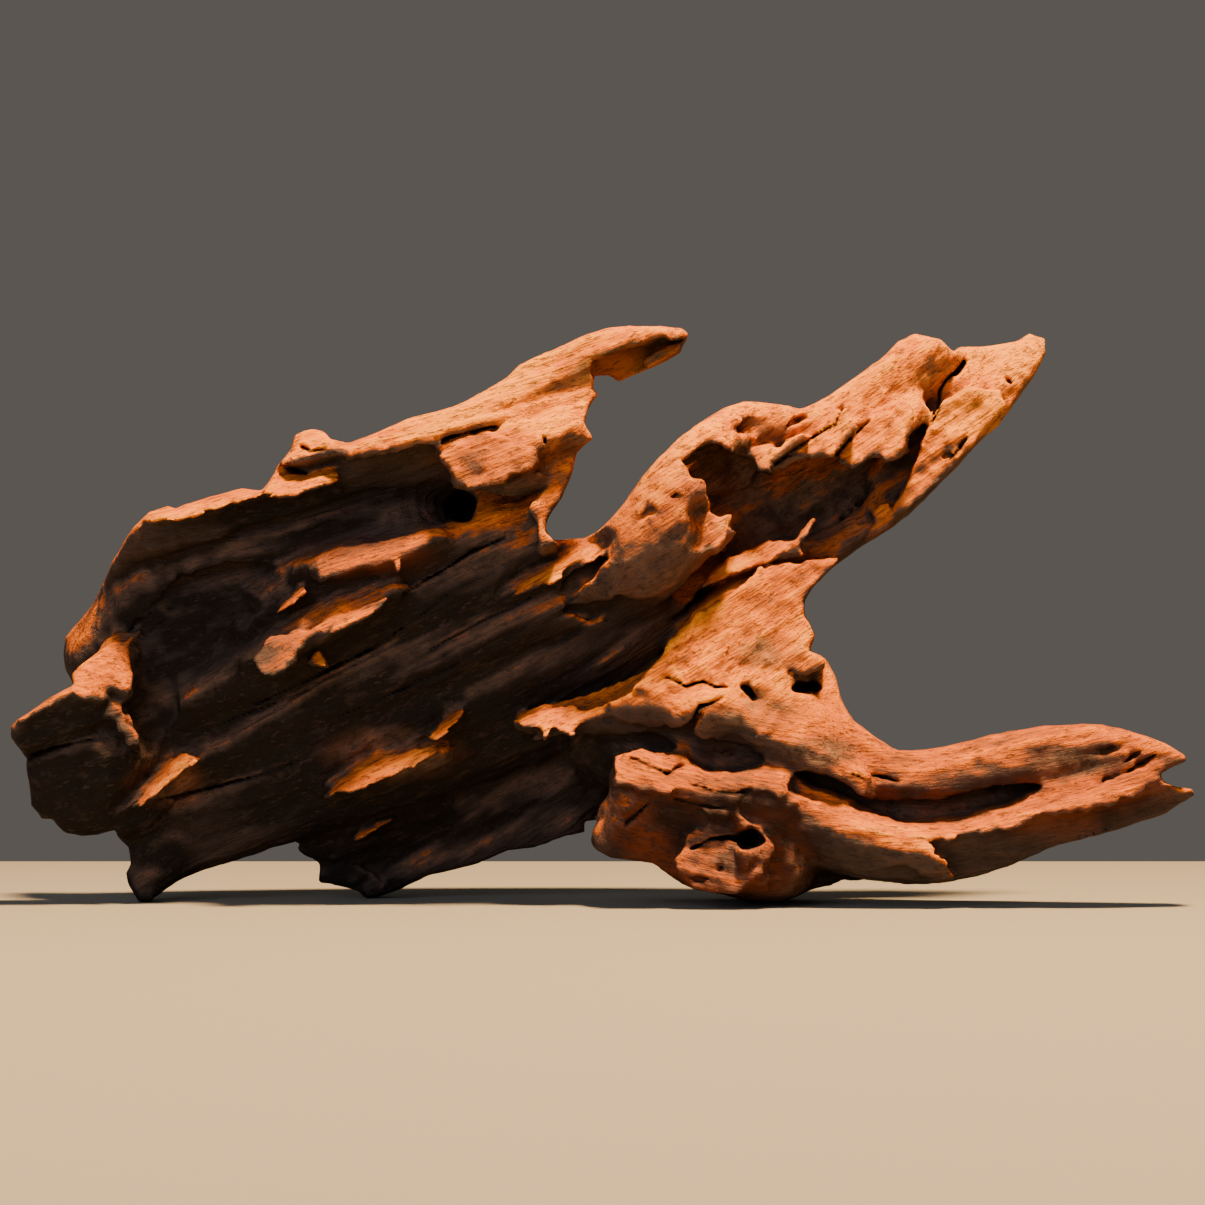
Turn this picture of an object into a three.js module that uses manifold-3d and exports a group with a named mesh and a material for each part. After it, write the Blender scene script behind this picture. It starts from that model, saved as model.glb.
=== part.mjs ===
// A weathered red piece of driftwood: a broad slab on the left with a hooked horn,
// and on the right an upper arm, a lower arm and a knuckle that carries the weight.
// Millimetres, +Z up, the face with the ledges looks toward -Y.

import * as THREE from "three";
import { MarchingCubes } from "three/addons/objects/MarchingCubes.js";
import { ImprovedNoise } from "three/addons/math/ImprovedNoise.js";
import { mergeVertices } from "three/addons/utils/BufferGeometryUtils.js";
import Module from "manifold-3d";

// Sizes of the whole piece.
const WOOD_LENGTH = 452;
const WOOD_HEIGHT = 220;
const WOOD_DEPTH = 145;

// The outline is the one seen from an eye this far in front and this high.
const EYE_DISTANCE = 1200;
const EYE_HEIGHT = 60;

// The grain climbs to the right, and the facets are longer along it.
const GRAIN_TILT = THREE.MathUtils.degToRad(20);
const FACET_SIZE = new THREE.Vector3(10.2, 9.8, 7.6);
const FACETS_ALONG = 58;
const SHORTEST_CROSSING = 0.6;

// How strands grow into each other, and how soft the outline's edge is.
const STRAND_BLEND = 4.5;
const HOLLOW_BLEND = 3;
const OUTLINE_BLEND = 5;
const STEPS_PER_PLACE = 4;

// Long shallow waves that follow the grain.
const WAVE_HEIGHT = 1.7;
const WAVE_ALONG = 70;
const WAVE_ACROSS = 15;

// Room left between two neighbouring pieces at a fork.
const FORK_GAP = 0.3;

// Each place on a strand is x, y, z, then half the width seen from the front,
// then half the depth.
const STRANDS = {
  flankAndRim: [
    [-207, 34, 90, 8, 12], [-199, 26, 113, 11, 16], [-182, 4, 135, 12, 24], [-161, -20, 142, 9, 24],
    [-135, -32, 148, 8, 20], [-108, -36, 158, 10, 20], [-75, -36, 169, 13, 20], [-45, -34, 178, 17, 20],
    [-20, -30, 189, 20, 18],
  ],
  underRim: [
    [-193, 20, 93, 15, 24], [-167, 10, 119, 20, 28], [-131, 2, 132, 22, 28], [-96, 0, 143, 22, 28],
    [-58, -2, 153, 20, 28], [-22, -6, 160, 13, 22],
  ],
  upperMid: [
    [-190, 16, 75, 14, 24], [-155, 6, 98, 17, 28], [-115, -6, 116, 18, 28], [-77, -12, 128, 17, 28],
    [-39, -14, 138, 17, 26], [-21, -14, 143, 12, 22],
  ],
  middle: [
    [-186, 14, 59, 14, 24], [-151, 5, 79, 18, 29], [-108, -4, 98, 19, 29], [-65, -9, 114, 19, 29],
    [-24, -12, 127, 17, 28], [5, -14, 128, 14, 24],
  ],
  lowerMid: [
    [-186, 16, 43, 14, 22], [-147, 11, 61, 19, 27], [-100, 1, 80, 20, 29], [-54, -4, 98, 20, 30],
    [-16, -6, 113, 18, 29], [16, -2, 118, 14, 28],
  ],
  lower: [
    [-183, 14, 26, 13, 17], [-144, 14, 43, 18, 23], [-97, 7, 62, 20, 27], [-51, 2, 80, 20, 28],
    [-9, 2, 97, 19, 28], [36, 10, 114, 18, 26],
  ],
  bottomEdge: [
    [-175, 8, 8, 8, 10], [-166, 12, 19, 12, 13], [-136, 16, 31, 13, 18], [-98, 15, 45, 15, 21],
    [-59, 13, 59, 17, 25], [-24, 12, 74, 18, 26], [15, 16, 90, 18, 26], [55, 18, 112, 16, 24],
  ],
  leftFoot: [
    [-175, 5, -3, 7, 9], [-176, 6, 8, 9, 10], [-171, 10, 24, 12, 14],
  ],
  backBody: [
    [-177, 26, 72, 28, 24], [-123, 36, 95, 38, 30], [-52, 40, 119, 40, 34], [15, 42, 127, 36, 32],
    [62, 34, 113, 30, 28],
  ],
  ledgeHigh: [
    [-111, -34, 124, 4, 8], [-95, -40, 128, 6, 10], [-75, -42, 131, 6, 10], [-61, -40, 136, 4, 7],
  ],
  ledgeMiddle: [
    [-130, -26, 91, 5, 9], [-112, -32, 99, 8, 11], [-95, -36, 109, 7, 10], [-78, -38, 117, 5, 7],
  ],
  ledgeLeft: [
    [-179, 2, 34, 3, 6], [-166, -5, 43, 4, 8], [-153, -8, 52, 3, 6],
  ],
  ledgeLow: [
    [-101, -10, 43, 4, 8], [-82, -16, 50, 7, 10], [-61, -20, 57, 4, 7],
  ],
  stump: [
    [-210, -16, 56, 15, 15], [-193, -16, 54, 20, 18], [-178, -2, 54, 22, 19],
  ],
  stumpLower: [
    [-210, -12, 42, 11, 13], [-194, -10, 37, 13, 15], [-180, 0, 39, 16, 16],
  ],
  stumpTop: [
    [-218, -33, 65, 8, 9], [-202, -33, 72, 8, 12], [-186, -26, 81, 12, 16], [-181, -10, 94, 8, 14],
  ],
  knob: [
    [-116, -30, 156, 6, 9], [-111, -24, 170, 7, 10], [-105, -24, 172, 6, 9], [-93, -32, 165, 7, 10],
  ],
  plateUpper: [
    [-107, 36, 14, 8, 9], [-80, 34, 27, 13, 13], [-40, 31, 40, 17, 15], [-5, 27, 50, 17, 17],
  ],
  plateLower: [
    [-94, 36, -2, 7, 8], [-82, 36, 8, 10, 11], [-48, 34, 20, 12, 13], [-14, 30, 32, 12, 14],
  ],
  plateStub: [
    [-115, 26, 20, 5, 7], [-103, 28, 24, 10, 10], [-71, 24, 42, 14, 14],
  ],
  horn: [
    [-21, -30, 189, 22, 18], [-5, -32, 199, 18, 16], [9, -33, 207, 12, 14], [22, -33, 210, 9, 12],
    [33, -33, 212, 5, 8],
  ],
  rimLump: [
    [-57, -44, 164, 10, 11], [-34, -46, 165, 13, 14], [-14, -42, 172, 13, 14], [-8, -36, 180, 12, 12],
  ],
  edgeAtVee: [
    [-11, -28, 166, 7, 12], [-21, -26, 150, 7, 12], [-22, -24, 135, 9, 12], [-5, -28, 131, 10, 14],
  ],
  shoulder: [
    [-2, -34, 122, 10, 16], [14, -38, 131, 19, 22], [29, -38, 149, 23, 24], [37, -28, 167, 18, 24],
    [56, -14, 180, 10, 18],
  ],
  armSheet: [
    [37, -22, 175, 11, 18], [59, -16, 180, 11, 18], [82, -12, 181, 13, 16], [105, -6, 196, 18, 14],
    [123, -2, 208, 13, 12],
  ],
  armSheetLow: [
    [64, -20, 172, 7, 9], [89, -18, 176, 9, 9], [114, -14, 181, 12, 9],
  ],
  armBack: [
    [38, 18, 145, 24, 16], [69, 22, 153, 24, 15], [100, 26, 167, 22, 14], [128, 28, 185, 17, 12],
  ],
  armBridge: [
    [115, 12, 160, 13, 11], [129, 10, 183, 17, 12], [134, 6, 196, 14, 12], [140, 10, 205, 12, 11],
  ],
  armKeel: [
    [55, 10, 119, 13, 18], [84, 12, 131, 10, 16], [107, 14, 145, 9, 14], [127, 16, 160, 9, 13],
    [149, 20, 180, 9, 11],
  ],
  armEnd: [
    [110, 2, 149, 8, 9], [128, 6, 172, 13, 12], [147, 10, 194, 17, 12], [162, 14, 207, 11, 9],
    [173, 18, 219, 6, 6],
  ],
  spur: [
    [37, -20, 121, 4, 6], [52, -20, 126, 8, 9], [69, -14, 131, 8, 10], [81, -4, 143, 4, 7],
  ],
  skirtCore: [
    [68, 8, 120, 18, 24], [57, 2, 96, 26, 28], [60, 0, 70, 28, 28], [75, -4, 39, 26, 26],
  ],
  cavityBack: [
    [3, 0, 64, 18, 24], [29, -8, 57, 24, 26], [60, -10, 39, 24, 26],
  ],
  skirt: [
    [73, -4, 121, 10, 16], [56, -16, 106, 18, 22], [45, -26, 89, 21, 24], [36, -32, 75, 18, 24],
  ],
  skirtEdge: [
    [72, 0, 111, 9, 16], [74, -8, 95, 12, 17], [81, -14, 80, 13, 18], [88, -18, 63, 14, 20],
    [108, -20, 51, 13, 20],
  ],
  skirtFinger: [
    [-29, -24, 69, 4, 6], [-8, -30, 72, 8, 11], [14, -34, 77, 13, 16], [36, -32, 80, 16, 20],
  ],
  skirtFlow: [
    [61, -30, 80, 16, 18], [73, -32, 57, 19, 18], [87, -30, 37, 16, 18],
  ],
  skirtLip: [
    [49, -40, 71, 8, 14], [69, -36, 59, 9, 16], [92, -32, 47, 9, 16],
  ],
  armTop: [
    [86, -16, 57, 15, 20], [112, -22, 47, 14, 20], [141, -27, 51, 14, 20], [170, -31, 57, 13, 18],
    [192, -34, 58, 11, 16], [220, -38, 53, 10, 12],
  ],
  armBelow: [
    [59, -26, 42, 13, 22], [88, -30, 28, 15, 24], [122, -33, 20, 12, 24], [151, -35, 26, 11, 22],
    [180, -37, 37, 11, 19], [202, -39, 42, 9, 13], [222, -41, 42, 8, 10],
  ],
  armCore: [
    [75, 0, 28, 20, 24], [113, -12, 29, 18, 22], [149, -22, 37, 17, 22], [185, -32, 45, 15, 18],
    [214, -38, 48, 12, 13],
  ],
  knuckle: [
    [7, -30, 26, 12, 18], [21, -36, 31, 20, 23], [43, -38, 24, 21, 25], [64, -28, 16, 15, 22],
  ],
  knuckleTop: [
    [12, -34, 48, 9, 15], [32, -38, 43, 14, 20], [62, -36, 40, 14, 22],
  ],
  knuckleSole: [
    [33, 0, 13, 12, 26], [55, 4, 6, 14, 26], [76, 4, 13, 13, 24],
  ],
  backRidge: [
    [-153, 54, 68, 10, 12], [-101, 62, 93, 14, 14], [-41, 66, 114, 15, 14], [20, 64, 123, 14, 14],
    [71, 50, 140, 10, 12],
  ],
  backRidgeLow: [
    [-120, 48, 44, 8, 12], [-71, 58, 66, 11, 13], [-15, 64, 82, 13, 14], [30, 60, 92, 12, 14],
  ],
};

// Hollows are written in the same way and are cut out of the grown shape.
const HOLLOWS = {
  underRimHollow: [
    [-129, -48, 139, 6, 14], [-96, -46, 148, 10, 17], [-64, -38, 151, 10, 18], [-53, -20, 149, 6, 20],
  ],
  armHollow: [
    [37, -42, 162, 7, 12], [52, -28, 159, 9, 20], [74, -18, 156, 11, 22], [98, -12, 159, 10, 18],
    [111, -8, 165, 6, 12],
  ],
  armGroove: [
    [72, -56, 45, 5, 12], [97, -60, 37, 7, 14], [129, -64, 36, 7, 14], [155, -62, 42, 4, 9],
  ],
  knuckleHole: [
    [52, -84, 27, 6, 14], [57, -38, 26, 5, 10],
  ],
  skirtCavity: [
    [3, -52, 59, 6, 12], [21, -58, 57, 8, 12], [37, -62, 54, 6, 9],
  ],
  valley: [
    [77, -20, 125, 6, 12], [51, -34, 107, 9, 18], [21, -40, 95, 11, 20], [3, -38, 85, 10, 16],
    [-16, -34, 77, 6, 11],
  ],
  hornHollow: [
    [1, -50, 199, 3, 8], [14, -52, 201, 4, 9], [24, -50, 205, 2, 6],
  ],
  backHollow: [
    [-120, 84, 72, 8, 14], [-67, 90, 93, 11, 18], [-9, 90, 105, 11, 18], [36, 84, 111, 7, 14],
  ],
  backHollowHigh: [
    [-130, 68, 114, 8, 14], [-86, 72, 137, 12, 20], [-41, 68, 147, 9, 16],
  ],
};

// The outline seen from the front, clockwise from the left foot, as x and z.
const OUTLINE = {
  leftStump: [
    [-184, 6], [-183, 11], [-180, 15], [-181, 21], [-186, 28], [-199, 25], [-206, 26], [-210, 32],
    [-214, 32], [-219, 46], [-220, 55], [-231, 61], [-231, 68], [-218, 74], [-202, 83],
  ],
  flank: [
    [-205, 89], [-205, 101], [-200, 107], [-191, 121], [-183, 137], [-173, 149], [-166, 151],
  ],
  rimAndKnob: [
    [-159, 152], [-145, 156], [-130, 157], [-124, 167], [-119, 173], [-118, 179], [-111, 183],
    [-104, 177], [-97, 175], [-73, 185], [-45, 195],
  ],
  horn: [
    [-32, 205], [-16, 212], [1, 219], [11, 220], [30, 219], [33, 217], [30, 210], [18, 204], [12, 201],
    [-3, 201], [-4, 196], [-2, 194], [-7, 183], [-4, 177],
  ],
  vee: [
    [-10, 172], [-12, 163], [-21, 147], [-22, 142], [-19, 138], [-6, 139], [4, 147], [15, 162],
    [29, 177],
  ],
  upperArm: [
    [37, 183], [53, 191], [68, 190], [76, 188], [89, 195], [107, 208], [113, 214], [119, 217],
    [129, 215], [134, 210], [136, 212], [151, 213], [163, 217], [169, 215], [169, 209], [159, 193],
    [145, 177], [128, 159], [109, 142], [88, 128], [80, 120],
  ],
  bay: [
    [77, 115], [77, 110], [81, 102], [79, 96], [85, 93], [89, 86], [91, 77], [96, 69], [104, 63],
  ],
  lowerArm: [
    [112, 58], [134, 60], [166, 67], [190, 68], [206, 64], [219, 62], [231, 57], [227, 51], [222, 48],
    [227, 46], [234, 40], [221, 33], [195, 26], [165, 18], [148, 11], [130, 7], [109, 5],
  ],
  knuckle: [
    [85, 5], [74, 1], [68, -1], [56, -1], [46, 2], [29, 8], [19, 15], [3, 17], [-3, 20], [-5, 23],
    [-2, 31], [-7, 31],
  ],
  lowerPlate: [
    [-7, 27], [-15, 25], [-36, 20], [-67, 9], [-81, -4], [-96, -4], [-109, 6], [-108, 15], [-117, 20],
    [-115, 23], [-138, 15],
  ],
  leftFoot: [
    [-160, 9], [-168, -5], [-181, -5],
  ],
};

// One run of wood or of air, thicker and thinner along a smooth curve.
class Strand {
  constructor(places) {
    const curve = new THREE.CatmullRomCurve3(places.map(([x, y, z]) => new THREE.Vector3(x, y, z)));
    const count = (places.length - 1) * STEPS_PER_PLACE;
    this.samples = [];
    this.box = new THREE.Box3();
    for (let step = 0; step <= count; step += 1) {
      const along = step / STEPS_PER_PLACE;
      const first = Math.min(Math.floor(along), places.length - 2);
      const mix = along - first;
      const width = THREE.MathUtils.lerp(places[first][3], places[first + 1][3], mix);
      const depth = THREE.MathUtils.lerp(places[first][4], places[first + 1][4], mix);
      const point = curve.getPoint(step / count);
      const reach = new THREE.Vector3(width, depth, width);
      this.samples.push({ point, width, depth });
      this.box.expandByPoint(point.clone().add(reach));
      this.box.expandByPoint(point.clone().sub(reach));
    }
  }

  // Signed distance to the strand, below zero inside it.
  distance(point) {
    let nearest = Infinity;
    for (let index = 1; index < this.samples.length; index += 1) {
      const start = this.samples[index - 1];
      const end = this.samples[index];
      const runX = end.point.x - start.point.x;
      const runY = end.point.y - start.point.y;
      const runZ = end.point.z - start.point.z;
      const fromX = point.x - start.point.x;
      const fromY = point.y - start.point.y;
      const fromZ = point.z - start.point.z;
      const share = (fromX * runX + fromY * runY + fromZ * runZ) / (runX * runX + runY * runY + runZ * runZ);
      const mix = THREE.MathUtils.clamp(share, 0, 1);
      const width = start.width + (end.width - start.width) * mix;
      const depth = start.depth + (end.depth - start.depth) * mix;
      const across = Math.hypot(fromX - runX * mix, fromZ - runZ * mix);
      const deep = Math.abs(fromY - runY * mix);
      const scaled = Math.hypot(across / width, deep / depth);
      const slope = Math.hypot(across / (width * width), deep / (depth * depth));
      const value = slope > 1e-9 ? (scaled * (scaled - 1)) / slope : -Math.min(width, depth);
      nearest = Math.min(nearest, value);
    }
    return nearest;
  }
}

function smoothMin(first, second, blend) {
  const share = Math.max(blend - Math.abs(first - second), 0) / blend;
  return Math.min(first, second) - share * share * blend * 0.25;
}

function smoothMax(first, second, blend) {
  return -smoothMin(-first, -second, blend);
}

const noise = new ImprovedNoise();
const strands = Object.values(STRANDS).map((places) => new Strand(places));
const hollows = Object.values(HOLLOWS).map((places) => new Strand(places));
const outline = Object.values(OUTLINE).flat();

// Waves stretched along the grain, which climbs to the right.
function grainWave(point) {
  const along = point.x * Math.cos(GRAIN_TILT) + point.z * Math.sin(GRAIN_TILT);
  const across = point.z * Math.cos(GRAIN_TILT) - point.x * Math.sin(GRAIN_TILT);
  return WAVE_HEIGHT * noise.noise(along / WAVE_ALONG, point.y / WAVE_ACROSS, across / WAVE_ACROSS);
}

// Signed distance to the outline, seen from the eye in front, below zero inside it.
function outlineDistance(point) {
  const scale = 1 + point.y / EYE_DISTANCE;
  const x = point.x / scale;
  const z = EYE_HEIGHT + (point.z - EYE_HEIGHT) / scale;
  let nearest = Infinity;
  let inside = false;
  for (let index = 0; index < outline.length; index += 1) {
    const [startX, startZ] = outline[index];
    const [endX, endZ] = outline[(index + 1) % outline.length];
    const runX = endX - startX;
    const runZ = endZ - startZ;
    const share = ((x - startX) * runX + (z - startZ) * runZ) / (runX * runX + runZ * runZ);
    const mix = THREE.MathUtils.clamp(share, 0, 1);
    nearest = Math.min(nearest, Math.hypot(x - startX - runX * mix, z - startZ - runZ * mix));
    if (startZ > z !== endZ > z && x < startX + (runX * (z - startZ)) / runZ) {
      inside = !inside;
    }
  }
  return inside ? -nearest * scale : nearest * scale;
}

// Signed distance to the whole driftwood, below zero inside the wood.
function woodDistance(point) {
  let value = 40;
  for (const strand of strands) {
    if (strand.box.distanceToPoint(point) < value + STRAND_BLEND) {
      value = smoothMin(value, strand.distance(point), STRAND_BLEND);
    }
  }
  value += grainWave(point);
  value = smoothMax(value, outlineDistance(point), OUTLINE_BLEND);
  for (const hollow of hollows) {
    if (hollow.box.distanceToPoint(point) < HOLLOW_BLEND - value) {
      value = smoothMax(value, -hollow.distance(point), HOLLOW_BLEND);
    }
  }
  return value;
}

// The grid lies along the grain and reaches a few cells past the wood on every side.
const gridHalf = FACET_SIZE.clone().multiplyScalar(FACETS_ALONG / 2);
const gridCentre = new THREE.Vector3(0, 18, 104);
const gridTurn = new THREE.Matrix4().makeRotationY(-GRAIN_TILT);

function fromGrid(point) {
  return point.multiply(gridHalf).applyMatrix4(gridTurn).add(gridCentre);
}

// The grown shape as one closed, faceted surface.
function growWood() {
  const cubes = new MarchingCubes(FACETS_ALONG, new THREE.MeshStandardMaterial(), false, false, 80000);
  const half = FACETS_ALONG / 2;
  const point = new THREE.Vector3();
  cubes.isolation = 0;
  for (let z = 0; z < FACETS_ALONG; z += 1) {
    for (let y = 0; y < FACETS_ALONG; y += 1) {
      for (let x = 0; x < FACETS_ALONG; x += 1) {
        point.set((x - half) / half, (y - half) / half, (z - half) / half);
        const value = -woodDistance(fromGrid(point));
        const index = x + y * FACETS_ALONG + z * FACETS_ALONG * FACETS_ALONG;
        const sign = value < 0 ? -1 : 1;
        cubes.field[index] = sign * Math.max(Math.abs(value), SHORTEST_CROSSING);
      }
    }
  }
  cubes.update();
  const corners = new Float32Array(cubes.count * 3);
  for (let index = 0; index < cubes.count; index += 1) {
    point.fromArray(cubes.positionArray, index * 3);
    fromGrid(point).toArray(corners, index * 3);
  }
  const loose = new THREE.BufferGeometry();
  loose.setAttribute("position", new THREE.BufferAttribute(corners, 3));
  return mergeVertices(loose, 1e-3);
}

const { Manifold, Mesh, setup } = await Module().then((wasm) => {
  wasm.setup();
  return wasm;
});

function toSolid(geometry) {
  const source = geometry.index.array;
  const kept = [];
  for (let index = 0; index < source.length; index += 3) {
    const [first, second, third] = source.slice(index, index + 3);
    if (first !== second && second !== third && third !== first) {
      kept.push(first, second, third);
    }
  }
  const mesh = new Mesh({
    numProp: 3,
    vertProperties: new Float32Array(geometry.getAttribute("position").array),
    triVerts: new Uint32Array(kept),
  });
  return new Manifold(mesh);
}

function largest(solid) {
  const parts = solid.decompose();
  return parts.reduce((best, part) => (part.volume() > best.volume() ? part : best));
}

// A plane that holds two points of the front view and runs straight back, keeping
// the side to the left of the way from the first point to the second.
function seenPlane([startX, startZ], [endX, endZ]) {
  const normal = new THREE.Vector3(startZ - endZ, 0, endX - startX).normalize();
  return { normal, offset: normal.x * startX + normal.z * startZ };
}

// An upright plane through two points of the plan, keeping the side to the left.
function planPlane([startX, startY], [endX, endY]) {
  const normal = new THREE.Vector3(startY - endY, endX - startX, 0).normalize();
  return { normal, offset: normal.x * startX + normal.y * startY };
}

// The part of space on the kept side of every plane, grown by a margin.
function region(planes, margin) {
  const box = new THREE.BoxGeometry(WOOD_LENGTH * 3, WOOD_DEPTH * 3, WOOD_HEIGHT * 4);
  box.deleteAttribute("normal");
  box.deleteAttribute("uv");
  let solid = toSolid(mergeVertices(box, 1e-3));
  for (const plane of planes) {
    solid = solid.trimByPlane(plane.normal.toArray(), plane.offset - margin);
  }
  return solid;
}

function flipped(plane) {
  return { normal: plane.normal.clone().negate(), offset: -plane.offset };
}

// Where the driftwood forks. Each fork is taken off the rest in turn.
const armLine = seenPlane([-24, 131], [81, 119]);
const baseLine = planPlane([8, 25], [-6, -30]);
const FORKS = [
  ["left_stump", [planPlane([-173, -30], [-214, 20]), seenPlane([-150, 108], [-260, 108])]],
  ["horn", [seenPlane([-28, 209], [-4, 175]), seenPlane([-5, 165], [60, 203])]],
  ["upper_arm", [armLine, seenPlane([37, 203], [-22, 136])]],
  ["lower_arm", [flipped(armLine), seenPlane([95, 71], [77, 3])]],
  ["knuckle", [seenPlane([95, 54], [-7, 58]), baseLine]],
  ["lower_plate", [seenPlane([0, 66], [-116, 28]), seenPlane([-128, 40], [-128, -10]), flipped(baseLine)]],
];

const ground = { normal: [0, 0, 1], offset: 0 };
const grown = toSolid(growWood());
let rest = largest(grown.trimByPlane(ground.normal, ground.offset));
const bounds = rest.boundingBox();
const shift = [-(bounds.min[0] + bounds.max[0]) / 2, -(bounds.min[1] + bounds.max[1]) / 2, 0];

const bark = { color: 0x9a5530, roughness: 0.85, metalness: 0 };
const driftwood = new THREE.Group();
driftwood.name = "driftwood";

function addPiece(name, solid) {
  const mesh = solid.getMesh();
  const geometry = new THREE.BufferGeometry();
  geometry.setAttribute("position", new THREE.BufferAttribute(mesh.vertProperties, 3));
  geometry.setIndex(new THREE.BufferAttribute(mesh.triVerts, 1));
  geometry.computeVertexNormals();
  const piece = new THREE.Mesh(geometry, new THREE.MeshStandardMaterial(bark));
  piece.name = name;
  piece.position.fromArray(shift);
  driftwood.add(piece);
}

for (const [name, planes] of FORKS) {
  const piece = largest(rest.intersect(region(planes, 0)));
  rest = largest(rest.subtract(region(planes, FORK_GAP)));
  addPiece(name, piece);
}
addPiece("trunk", rest);

export default driftwood;
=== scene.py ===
"""Weathered red driftwood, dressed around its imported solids.

The wood is grown as one signed distance: tapering runs that melt into each other, hollows, ledges
with torn edges, cracks and pits, with the relief that the grain gives. It is meshed once and parted
at the forks with flat cuts, so that the grain and the cracks cross the joints unbroken.
"""

import logging
import math
from collections.abc import Callable
from dataclasses import dataclass
from enum import Enum

import bmesh
import bpy
import numpy as np
import openvdb
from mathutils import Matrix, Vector


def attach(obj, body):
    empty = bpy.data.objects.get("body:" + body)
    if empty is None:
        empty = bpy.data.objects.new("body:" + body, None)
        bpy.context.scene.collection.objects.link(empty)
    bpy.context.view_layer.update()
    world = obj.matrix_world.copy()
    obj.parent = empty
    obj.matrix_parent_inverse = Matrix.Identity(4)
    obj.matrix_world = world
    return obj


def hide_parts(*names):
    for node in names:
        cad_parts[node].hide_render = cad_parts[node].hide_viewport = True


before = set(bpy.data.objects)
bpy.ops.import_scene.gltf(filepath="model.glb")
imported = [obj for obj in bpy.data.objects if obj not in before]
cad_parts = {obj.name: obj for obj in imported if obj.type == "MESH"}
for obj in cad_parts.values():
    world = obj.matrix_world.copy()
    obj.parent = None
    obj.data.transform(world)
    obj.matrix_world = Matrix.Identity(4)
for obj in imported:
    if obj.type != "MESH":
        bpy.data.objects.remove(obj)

LOG = logging.getLogger("driftwood")
MM = 0.001

# The sculpt's own origin, in millimetres of the row frame.
SCULPT_ORIGIN = (0.061, -8.602, 0.0)

# The piece is seen from an eye this far in front of the sculpt's origin and this high, in mm.
EYE_DISTANCE = 1200.0
EYE_HEIGHT = 60.0

# Room taken by the sculpt, in mm, and the distance between two samples of it.
SCULPT_LOW = (-240.0, -82.0, -6.0)
SCULPT_HIGH = (240.0, 92.0, 228.0)
SAMPLE_STEP = 0.8

# How far flat places may be drawn with fewer triangles, from nought to one.
ADAPTIVITY = 0.024

# How wide the fillets are where forms meet, in mm.
RUN_BLEND = 4.5
HOLLOW_BLEND = 2.0
SPLINTER_BLEND = 1.5
OUTLINE_BLEND = 2.0
SHELF_BLEND = 1.2
SHELF_BACK_BLEND = 2.0
FLOOR_BLEND = 1.6
EDGE_BLEND = 1.0
PIT_BLEND = 0.8

# Stretches drawn between two places of a run, the distance that stands for no wood at all, and
# the room left round a run, a ledge or a recess, and a crack or a pit, in mm.
STEPS_PER_PLACE = 4
FAR = 40.0
REACH = 6.0
SEEN_MARGIN = 3.0
SPLIT_MARGIN = 4.0

# How far the surface changes round the broad relief and round the fine one, in mm.
BROAD_REACH = 5.0
FINE_REACH = 2.5

# Half the width at which a split still shows, the wall left behind a recess and the size of the
# tears along an outline, in mm.
SPLIT_WIDTH = 0.72
WALL = 5.0
TEAR_SIZE = 4.2

# How steep the distances to a ledge's face and back and to the air in front of it are. Faces slope,
# so the depth to one is more than the way to it.
FACE_STEEP = 0.8
BACK_STEEP = 0.9
AIR_STEEP = 0.7

# How near to a cut, in mm, and how square to it a face lies that counts as part of it.
CUT_NEAR = 0.02
CUT_FLAT = 0.999

Array = np.ndarray
Piece = bpy.types.Object
Tree = bpy.types.NodeTree
Socket = bpy.types.NodeSocket
Places = tuple[tuple[float, ...], ...]
Window = tuple[slice, slice, slice]


def ease(value: Array) -> Array:
    """Goes from nought to one with a soft start and a soft end."""
    share = np.clip(value, 0, 1)
    return share * share * (3 - 2 * share)


def smooth_min(first: Array, second: Array, blend: float) -> Array:
    """Joins two signed distances with a soft fillet as wide as the blend, in mm."""
    share = np.maximum(blend - np.abs(first - second), 0) / blend
    return np.minimum(first, second) - share * share * (blend * 0.25)


def smooth_max(first: Array, second: Array, blend: float) -> Array:
    """Cuts one distance by another with a soft edge, as smooth_min joins them."""
    return -smooth_min(-first, -second, blend)


def flatten(x: Array, y: Array, z: Array) -> tuple[Array, Array, Array]:
    """Slides points along the eye's lines of sight onto the upright plane through the origin.

    Args:
        x: places along the piece.
        y: places in depth.
        z: heights.

    Returns:
        Where the points are seen, as x and z, and how much larger things are at their depth.
    """
    scale = 1 + y / EYE_DISTANCE
    return x / scale, EYE_HEIGHT + (z - EYE_HEIGHT) / scale, scale


def segment_distance(x: Array, z: Array, start: tuple, end: tuple) -> tuple:
    """Distance from seen points to one straight stretch, and the nearest point's share of it."""
    run_x, run_z = end[0] - start[0], end[1] - start[1]
    length = max(run_x * run_x + run_z * run_z, 1e-6)
    share = np.clip(((x - start[0]) * run_x + (z - start[1]) * run_z) / length, 0, 1)
    return np.hypot(x - start[0] - run_x * share, z - start[1] - run_z * share), share


def polygon_distance(x: Array, z: Array, corners: Places) -> Array:
    """Signed distance from seen points to a closed outline, below zero inside it."""
    nearest = np.full(np.broadcast(x, z).shape, FAR * 10, np.float32)
    inside = np.zeros(nearest.shape, bool)
    for index, start in enumerate(corners):
        end = corners[(index + 1) % len(corners)]
        distance, _ = segment_distance(x, z, start, end)
        np.minimum(nearest, distance, out=nearest)
        if start[1] != end[1]:
            crossing = start[0] + (z - start[1]) * ((end[0] - start[0]) / (end[1] - start[1]))
            inside ^= ((start[1] > z) != (end[1] > z)) & (x < crossing)
    return np.where(inside, -nearest, nearest)


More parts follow.
